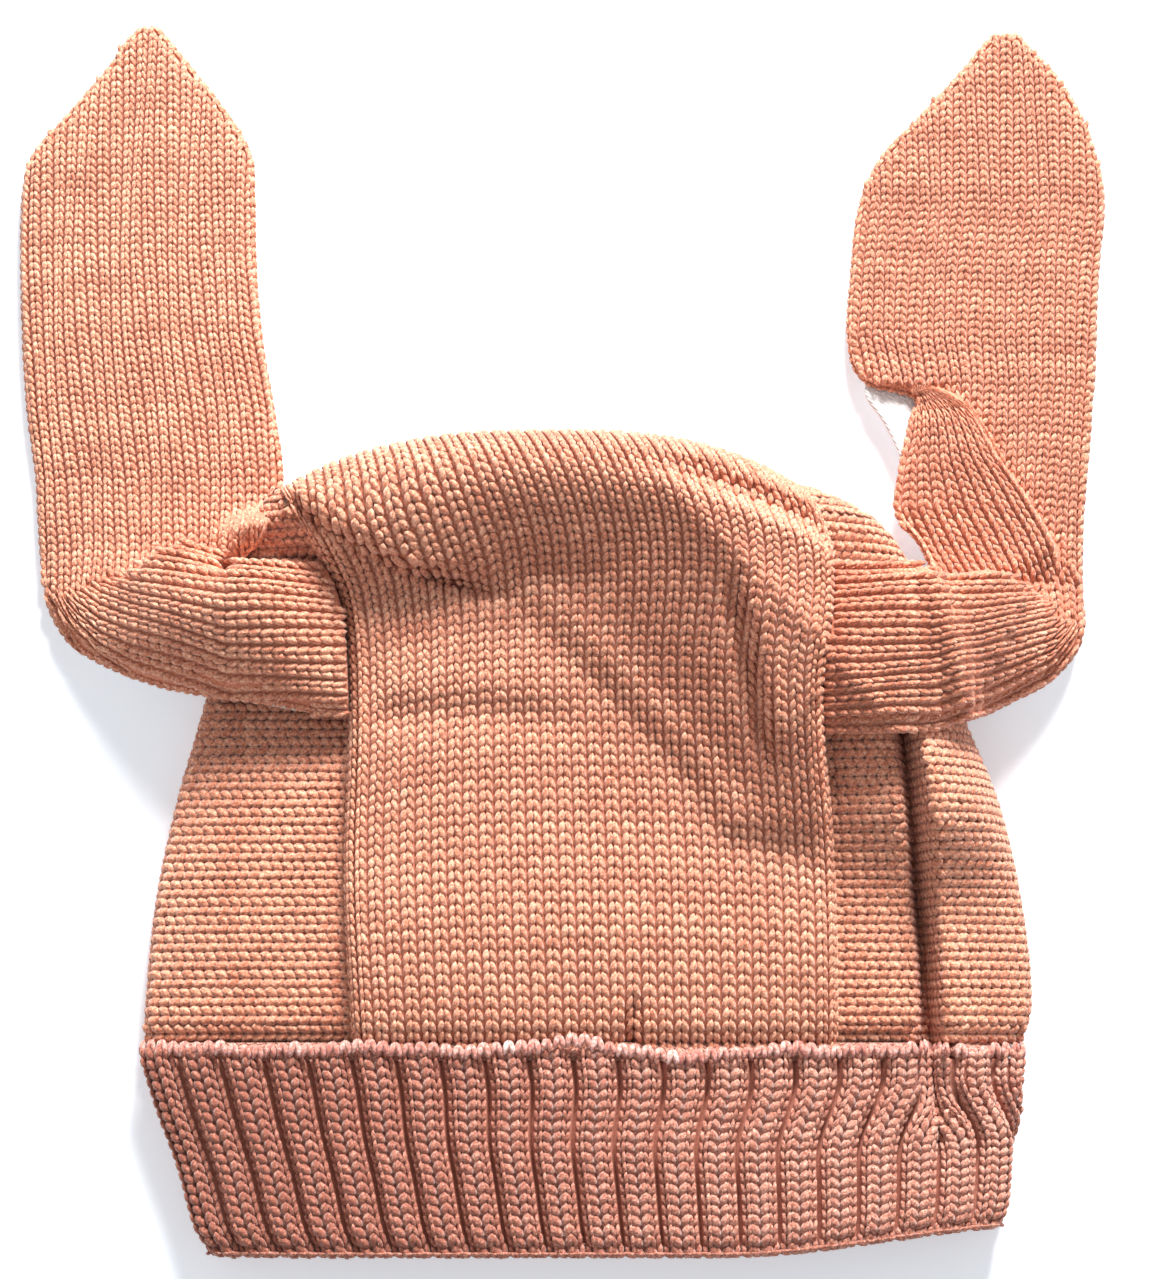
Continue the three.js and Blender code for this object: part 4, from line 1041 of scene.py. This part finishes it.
def makeEar(ear):
    layEar(ear)
    side, wales, name, width = ear["side"], earLook["wales"], ear["name"], hat["earWidth"]
    total = ear["keys"][-1]
    lengths = np.linspace(0, total, round(total / earLook["rowLong"]))
    v, u = np.meshgrid(lengths, np.linspace(0, 1, earLook["columns"]), indexing="ij")
    surface = earTop(ear, v, u)
    x, y, floor, row = earFloor(ear, v, u)
    top = surface - np.array([0, 0, pileDepth])
    under = stacked(x, y, floor + hat["liningWall"] + hat["earGap"])
    outer = clothSheet("ear_outer_" + name, knitCloth, top, under, (1 / 3, 0.5))
    peek = row["peekOut"] * np.maximum(0, 2 * u - 1) - row["peekIn"] * np.maximum(0, 1 - 2 * u)
    top, under = (stacked(x + peek * side * width, y, floor + wall) for wall in (hat["liningWall"], 0))
    inside = clothSheet("ear_lining_" + name, lining, top, under, (0.4, 0.6), shade=np.zeros(v.shape))

    flatX, flatY = side * (x - ear["cornerX"]), y - ear["cornerY"]
    turned = besideFold(ear["folds"][0], flatX, flatY)
    regions = np.where((turned > 0) | (flatX < -0.02 * width) & (flatY < 0.06 * width), 0, 1)
    if "strip" in ear:
        onStrip = (besideFold(ear["folds"][1], flatX, flatY) > 0) & (flatY < 0.345 * hat["earStand"])
        regions = np.where((regions == 1) & onStrip, 2, regions)
    fall = fallOn(surface, regions)
    root, stand, strip, shade = earPlans(ear)
    parts = []
    low, high = ear["cornerY"] - 0.25 * width, ear["cornerY"] + hat["earStand"]
    layouts = [(root, -0.75 * width, width, earLook["rootCourse"], earLook["rootWales"]),
               (stand, low, high, earLook["course"], wales + 1),
               (strip, low, high, earLook["course"] * 1.1, earLook["stripWales"] + 1)]
    for region, (plan, start, end, step, columns) in enumerate(layouts[:3 if "strip" in ear else 2]):
        a, b = np.meshgrid(np.arange(start, end, step), np.arange(-1, columns) + 0.5, indexing="ij")
        seeds, a, b = seedsDraped(fall, plan, a, b, step, 1.0, region)
        course = np.round((a - start) / step).astype(int)
        seeds["tone"] = ear["tone"] + courseTone(course, b / wales, earLook["streak"], 200 + side * 90)
        if plan is root:
            seeds["tone"] += shade(seeds["place"][:, 0], seeds["place"][:, 1])
        parts.append(seeds)
    stitches = knitOn("ear_stitches_" + name, joined(*parts), seed=9 + side)

    # A chain along both edges, where the knit turns down to the lining.
    parts = []
    for edge, way in ((0.0, 1), (1.0, -1)):
        def along(t):
            return earTop(ear, t, np.full(t.shape, edge))

        def onEdge(t):
            x, y, floor, _ = earFloor(ear, t, np.full(t.shape, edge))
            return stacked(x, y, floor + hat["liningWall"] + earLook["edgeUp"])
        line = evenPlaces(along, 0, total, earLook["edgePitch"])
        middle, half = (line[1:] + line[:-1]) / 2, np.diff(line) / 2
        inward = onEdge(middle) - earTop(ear, middle, np.full(middle.shape, 0.5))
        outward = inward * np.array([1, 1, 0])
        outward /= lengthOf(outward)
        up = (onEdge(middle + half) - onEdge(middle - half)) * way * side
        outward += np.array([0, 0, earLook["edgeLean"]])
        parts.append(seedsFrom(onEdge(middle), up, outward, earLook["edgeWide"]))
    edges = joined(*parts)
    edges["tone"] = np.full(len(edges["place"]), earLook["edgeTone"])
    chains = knitOn("ear_edges_" + name, edges, "chainStitch", seed=13 + side)
    return outer, inside, stitches, chains


# One ring of the band or seam: points at shares of the way round, standing proud by some amount.
def ringPoints(left, right, loft, floor, y, shares, stand):
    angle = np.linspace(0, 2 * math.pi, 721)
    across = -np.cos(angle)
    x = lerp(left, right, (across + 1) / 2)
    over = np.sin(angle) >= 0
    height = hat["foldHeight"]
    roundness = np.sqrt(np.maximum(0, 1 - np.abs(across) ** np.where(over, 4, 14)))
    z = np.where(over, height + (loft - height) * roundness, height - (height - floor) * roundness)
    z = z + np.where(over, foldShift(bandPleat, x, y, halfCrown, crownLong)[..., 2], 0)
    length = np.concatenate([[0], np.cumsum(np.hypot(np.diff(x), np.diff(z)))])

    def at(shift):
        spot = np.mod(shares + shift, 1) * length[-1]
        return np.interp(spot, length, x), np.interp(spot, length, z)
    (atX, atZ), (x0, z0), (x1, z1) = at(0), at(-0.002), at(0.002)
    size = np.hypot(x1 - x0, z1 - z0) + smallest
    wayX, wayZ = (x1 - x0) / size, (z1 - z0) / size
    return atX - wayZ * stand, atZ + wayX * stand


bandLook = {
    "courses": 19, "columnsInRib": 12, "hemFrom": 0.88, "hemStand": 0.3, "hemPaintedShade": -0.16, "mouthSkew": 0.15,
    "groove": 1.1, "grooveWide": 0.05, "tone": 0.44, "shadeLeft": 0.4, "ribsBehind": 5, "coveredTo": 0.34,
    "castOn": 168, "castOnAt": 0.992, "castOnTo": 0.6, "castOnWide": 2.3, "castOnShadedTone": 0.3,
    "tackX": -0.2, "tackYs": (-38.9, -40.2, -41.5), "tackLift": 1.2, "tackLong": 2.3, "tackWide": 1.2,
    "tackTones": (-0.6, 0.3, -0.6),
    "wales": table("at wide out knittedTo", (0.5, 4.5, 0.1, 0.66), (0.16, 2.8, -0.1, 0.66),
                   (0.84, 2.8, -0.1, 0.67)),
}


def ribStand(share, down):
    place = np.mod(share * hat["ribCount"], 1)
    groove = np.exp(-((np.minimum(place, 1 - place) / bandLook["grooveWide"]) ** 2))
    crown = np.sin(math.pi * place) ** 0.6 - bandLook["groove"] * groove
    hem = 1 - (1 - bandLook["hemStand"]) * smooth(down, bandLook["hemFrom"], 1)
    return hat["ribDepth"] * crown * hem


def bandSurface(down, share, deeper=0.0):
    down, share = np.broadcast_arrays(np.asarray(down, float), np.asarray(share, float))
    points = np.zeros(down.shape + (3,))
    start = -hat["seamWidth"] / 2 - hat["pieceGap"]
    for level in np.unique(down):
        here = down == level
        held = min(max(level, 0), 1)
        y = start - level * (hat["bandLength"] + start)
        left, right = (halfCrown * float(readTable(bandOutline, "down", held, sideNames[i])) for i in (-1, 1))
        loft = lerp(hat["bandLoft"], hat["mouthLoft"], held) - hat["ribDepth"]
        stand = ribStand(share[here], level) - deeper
        x, z = ringPoints(-left, right, loft, hat["ribDepth"], y, share[here], stand)
        drawnUp = 1 - bandLook["mouthSkew"] * smooth(x / halfCrown, 0.3, 1)
        points[here] = stacked(x, start + (y - start) * drawnUp, np.maximum(0.1, z))
    return points


def makeBand():
    ribCount, courses = hat["ribCount"], bandLook["courses"]
    rows = np.linspace(0, 1, courses + 1)
    fineRows = halved(rows)
    shares = np.arange(ribCount * bandLook["columnsInRib"]) / (ribCount * bandLook["columnsInRib"])
    down, share = np.meshgrid(fineRows, shares, indexing="ij")
    outer, inner = bandSurface(down, share, pileDepth), bandSurface(down, share, hat["ribWall"])
    shadeUnderStitches = (np.abs(shares - 0.25) < bandLook["coveredTo"]).astype(float)
    base = clothSheet("brim_rib", ribCloth, outer, inner, (3 / bandLook["columnsInRib"], 0.5), around=True,
                      shade=np.repeat(shadeUnderStitches[None, :], len(fineRows), 0))
    middles = np.concatenate([[-0.5 / courses], (rows[1:] + rows[:-1]) / 2])
    parts = []
    for wale in bandLook["wales"]:
        ribs = (np.arange(ribCount) + wale["at"]) / ribCount
        ribs = np.concatenate([ribs[ribs < wale["knittedTo"]], ribs[-bandLook["ribsBehind"]:]])
        a, b = np.meshgrid(middles, ribs, indexing="ij")
        seeds = seedsOn(bandSurface, a, b, -1 / courses, wale["wide"] / hat["bandRound"], lift=wale["out"])
        seeds["size"][:, 0] = wale["wide"] / stitchWide
        course = np.repeat(np.arange(len(middles))[:, None], len(ribs), 1)
        # Painted shade: the stitches grow darker towards the hem, where the rib rolls away under the band,
        # and towards the left end of the band.
        hem, fromLeft = smooth(a, 0.9, 1), smooth(b, 0.02, 0.4)
        seeds["tone"] = (bandLook["tone"] + courseTone(course, b, 0.05, 40) + bandLook["hemPaintedShade"] * hem
                         - bandLook["shadeLeft"] * (1 - fromLeft)).ravel()
        parts.append(seeds)
    # The cast-on edge, and the bar tack that closes the slit above it.
    count = bandLook["castOn"]
    edge = (np.arange(-10, int(count * bandLook["castOnTo"])) + 0.5) / count
    line, after, before = (bandSurface(np.full(edge.shape, bandLook["castOnAt"]), edge + shift / count)
                           for shift in (0, 0.5, -0.5))
    facing = np.broadcast_to(np.array([0.0, -1.0, 0.5]), line.shape)
    castOn = seedsFrom(line, after - before, facing, bandLook["castOnWide"])
    # Painted shade: the cast-on chain is darker, as the rolled edge it sits on turns away from the light.
    castOn["tone"] = np.full(len(edge), bandLook["castOnShadedTone"])
    skin = outer.reshape(-1, 3)
    skin = skin[skin[:, 2] > 0.3 * hat["bandLoft"]]
    tack = np.array([[bandLook["tackX"], y, 0] for y in bandLook["tackYs"]])
    under = [np.argmin(np.hypot(*(skin[:, :2] - spot[:2]).T)) for spot in tack]
    tack[:, 2] = skin[under, 2] + bandLook["tackLift"]
    way = np.tile([bandLook["tackLong"], 0.0, 0.0], (len(tack), 1))
    bars = seedsFrom(tack, way, np.tile([0.0, -0.2, 1.0], (len(tack), 1)), bandLook["tackWide"])
    bars["tone"] = np.array(bandLook["tackTones"])
    stitches = knitOn("brim_stitches", joined(*parts, castOn, bars), "ribStitch", ribYarn, seed=21)
    return base, stitches


# The raised seam that joins the brim to the crown, with its chain of loops.
seamLook = {
    "pitch": 2.6, "high": 2.3, "tone": 0.34, "paintedHighlight": 0.62, "paintedHighlightAt": 0.23, "looseness": 0.12,
    "toneSpread": 0.2, "loopsBefore": 8, "loopsTo": 0.56, "lift": -0.45, "tapeDepth": 2.3,
    "tapeOver": (0.9, 0.5), "tapeColumns": 180,
    "waves": table("high at wide", (1.3, -2, 9), (-1.5, 24, 13)),
}


def seamSurface(share, y, deeper=0.0):
    share, y = np.broadcast_arrays(np.asarray(share, float), np.asarray(y, float))
    points = np.zeros(share.shape + (3,))
    left, right = -halfCrown * hat["seamLeft"], halfCrown * hat["seamRight"]
    for level in np.unique(y):
        here = y == level
        stand = hat["seamRise"] * (1 - (level / (hat["seamWidth"] / 2)) ** 2) - deeper
        x, z = ringPoints(left, right, hat["bandLoft"], 0.0, 0.0, share[here], stand)
        points[here] = stacked(x, level, np.maximum(0.1, z))
    return points


def makeSeam():
    half = hat["seamWidth"] / 2
    below, above = seamLook["tapeOver"]
    shares = np.arange(seamLook["tapeColumns"]) / seamLook["tapeColumns"]
    y, share = np.meshgrid(np.linspace(-half - below, half + above, 7), shares, indexing="ij")
    held = np.clip(y, -half, half)
    outer = seamSurface(share, held, seamLook["tapeDepth"]) + [0, 1, 0] * (y - held)[..., None]
    inner = seamSurface(share, y, hat["ribWall"])
    base = clothSheet("linking_tape", ribCloth, outer, inner, (1, 1), around=True, shade=np.zeros(y.shape))
    count = round(hat["bandRound"] / seamLook["pitch"])
    loops = np.arange(-seamLook["loopsBefore"], int(count * seamLook["loopsTo"])) + 0.5
    a = loops / count

    def surface(y, share):
        return seamSurface(share, y)
    seeds = seedsOn(surface, np.zeros(a.shape), a, -1.0, -1 / count, lift=seamLook["lift"])
    seeds["size"][:, 0], seeds["size"][:, 1] = seamLook["pitch"] / stitchWide, seamLook["high"] / stitchHigh
    # Painted highlights: some loops in one stretch of the chain are made pale, as if they caught the light.
    paintedHighlight = np.clip(np.sin(loops * 1.7) * np.sin(loops * 0.23 + 1), 0, 1) ** 2
    paintedHighlight = seamLook["paintedHighlight"] * paintedHighlight * np.exp(-(((loops - seamLook["paintedHighlightAt"] * count) / 24) ** 2))
    seeds["tone"] = seamLook["tone"] + paintedHighlight
    chainX, _, height = seeds["place"].T
    bumps = sum(wave["high"] * np.exp(-(((chainX - wave["at"]) / wave["wide"]) ** 2))
                for wave in seamLook["waves"])
    sway = np.sin(loops * 1.1) * 0.3 + np.sin(loops * 0.41) * 0.35 + bumps * (height > 5)
    seeds["place"] += np.stack([0 * sway, sway + 0.1, 0.2 * np.cos(loops * 0.9)], -1)
    chains = knitOn("linking_chain", seeds, "chainStitch", seamYarn, seamLook["looseness"],
                    seamLook["toneSpread"], seed=31)
    return base, chains


centre, centreStitches = makeCentre()
sides = {side: makeSide(side) for side in (-1, 1)}
ears = {ear["name"]: makeEar(ear) for ear in (leftEar, rightEar)}
band, bandStitches = makeBand()
seam, seamChain = makeSeam()
for shape in shapes.values():
    bpy.data.objects.remove(shape, do_unlink=True)
print("hat knitted")

# A pale table, a key light from the far right, a weak fill, and a pale surround.
lightLook = {
    "key": dict(place=(0.22, 0.92, 0.55), size=0.32, strength=32.0),
    "fill": dict(place=(-0.5, -0.4, 1.2), size=1.2, strength=1.3),
    "surround": 0.5, "tableGlow": 0.3, "tableHalf": 1.6,
}


def lightUp():
    mesh = bpy.data.meshes.new("table")
    half = lightLook["tableHalf"]
    corners = [(-half, -half, 0), (half, -half, 0), (half, half, 0), (-half, half, 0)]
    mesh.from_pydata(corners, [], [(0, 1, 2, 3)])
    surface = addPiece("table", mesh)
    material, tree, shader = newMaterial("paleTable", 0.85, 0.0, (1, 1, 1))
    soft = noiseNode(tree, objectPlace(tree), 14.0, 2.0)
    colour = mixColour(tree, soft, (0.9, 0.925, 0.97, 1), (0.93, 0.95, 0.98, 1))
    tree.links.new(colour, shader.inputs["Base Color"])
    shader.inputs["Emission Color"].default_value = (0.88, 0.94, 1.0, 1)
    shader.inputs["Emission Strength"].default_value = lightLook["tableGlow"]
    mesh.materials.append(material)
    surface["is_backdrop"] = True
    for name in ("key", "fill"):
        look = lightLook[name]
        lamp = bpy.data.objects.new(name, bpy.data.lights.new(name, "AREA"))
        lamp.data.size, lamp.data.energy, lamp.location = look["size"], look["strength"], look["place"]
        lamp.rotation_euler = Vector([-c for c in look["place"]]).to_track_quat("-Z", "Y").to_euler()
        bpy.context.scene.collection.objects.link(lamp)
    world = bpy.data.worlds.new("softRoom")
    world.use_nodes = True
    background = world.node_tree.nodes["Background"]
    background.inputs["Color"].default_value = (0.96, 0.975, 1.0, 1)
    background.inputs["Strength"].default_value = lightLook["surround"]
    bpy.context.scene.world = world
    bpy.context.scene.view_settings.view_transform = "Standard"


lightUp()
print("light ready")


def placed(piece, slotName, *nodes):
    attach(piece, "root")
    if nodes:
        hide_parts(*nodes)


placed(centre, "knit", "centre_panel")
for side, name in ((-1, "left"), (1, "right")):
    placed(sides[side][0], "knit", "side_panel_" + name)
    placed(sides[side][1], "knit")
    outer, inside, stitches, chains = ears[name]
    placed(outer, "knit", f"ear_{name}_outer")
    placed(inside, "lining", f"ear_{name}_lining")
    placed(stitches, "knit")
    placed(chains, "knit")
for piece in centreStitches:
    placed(piece, "knit")
placed(band, "rib", "ribbed_band")
placed(bandStitches, "rib")
placed(seam, "seam_yarn", "linking_seam")
placed(seamChain, "seam_yarn")

for side, name in ((-1, "left"), (1, "right")):
    outer, inside, stitches, chains = ears[name]

plain = lambda box: [[float(c) for c in corner] for corner in box]
{"cad": plain(cadBox), "visual": plain(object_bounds())}
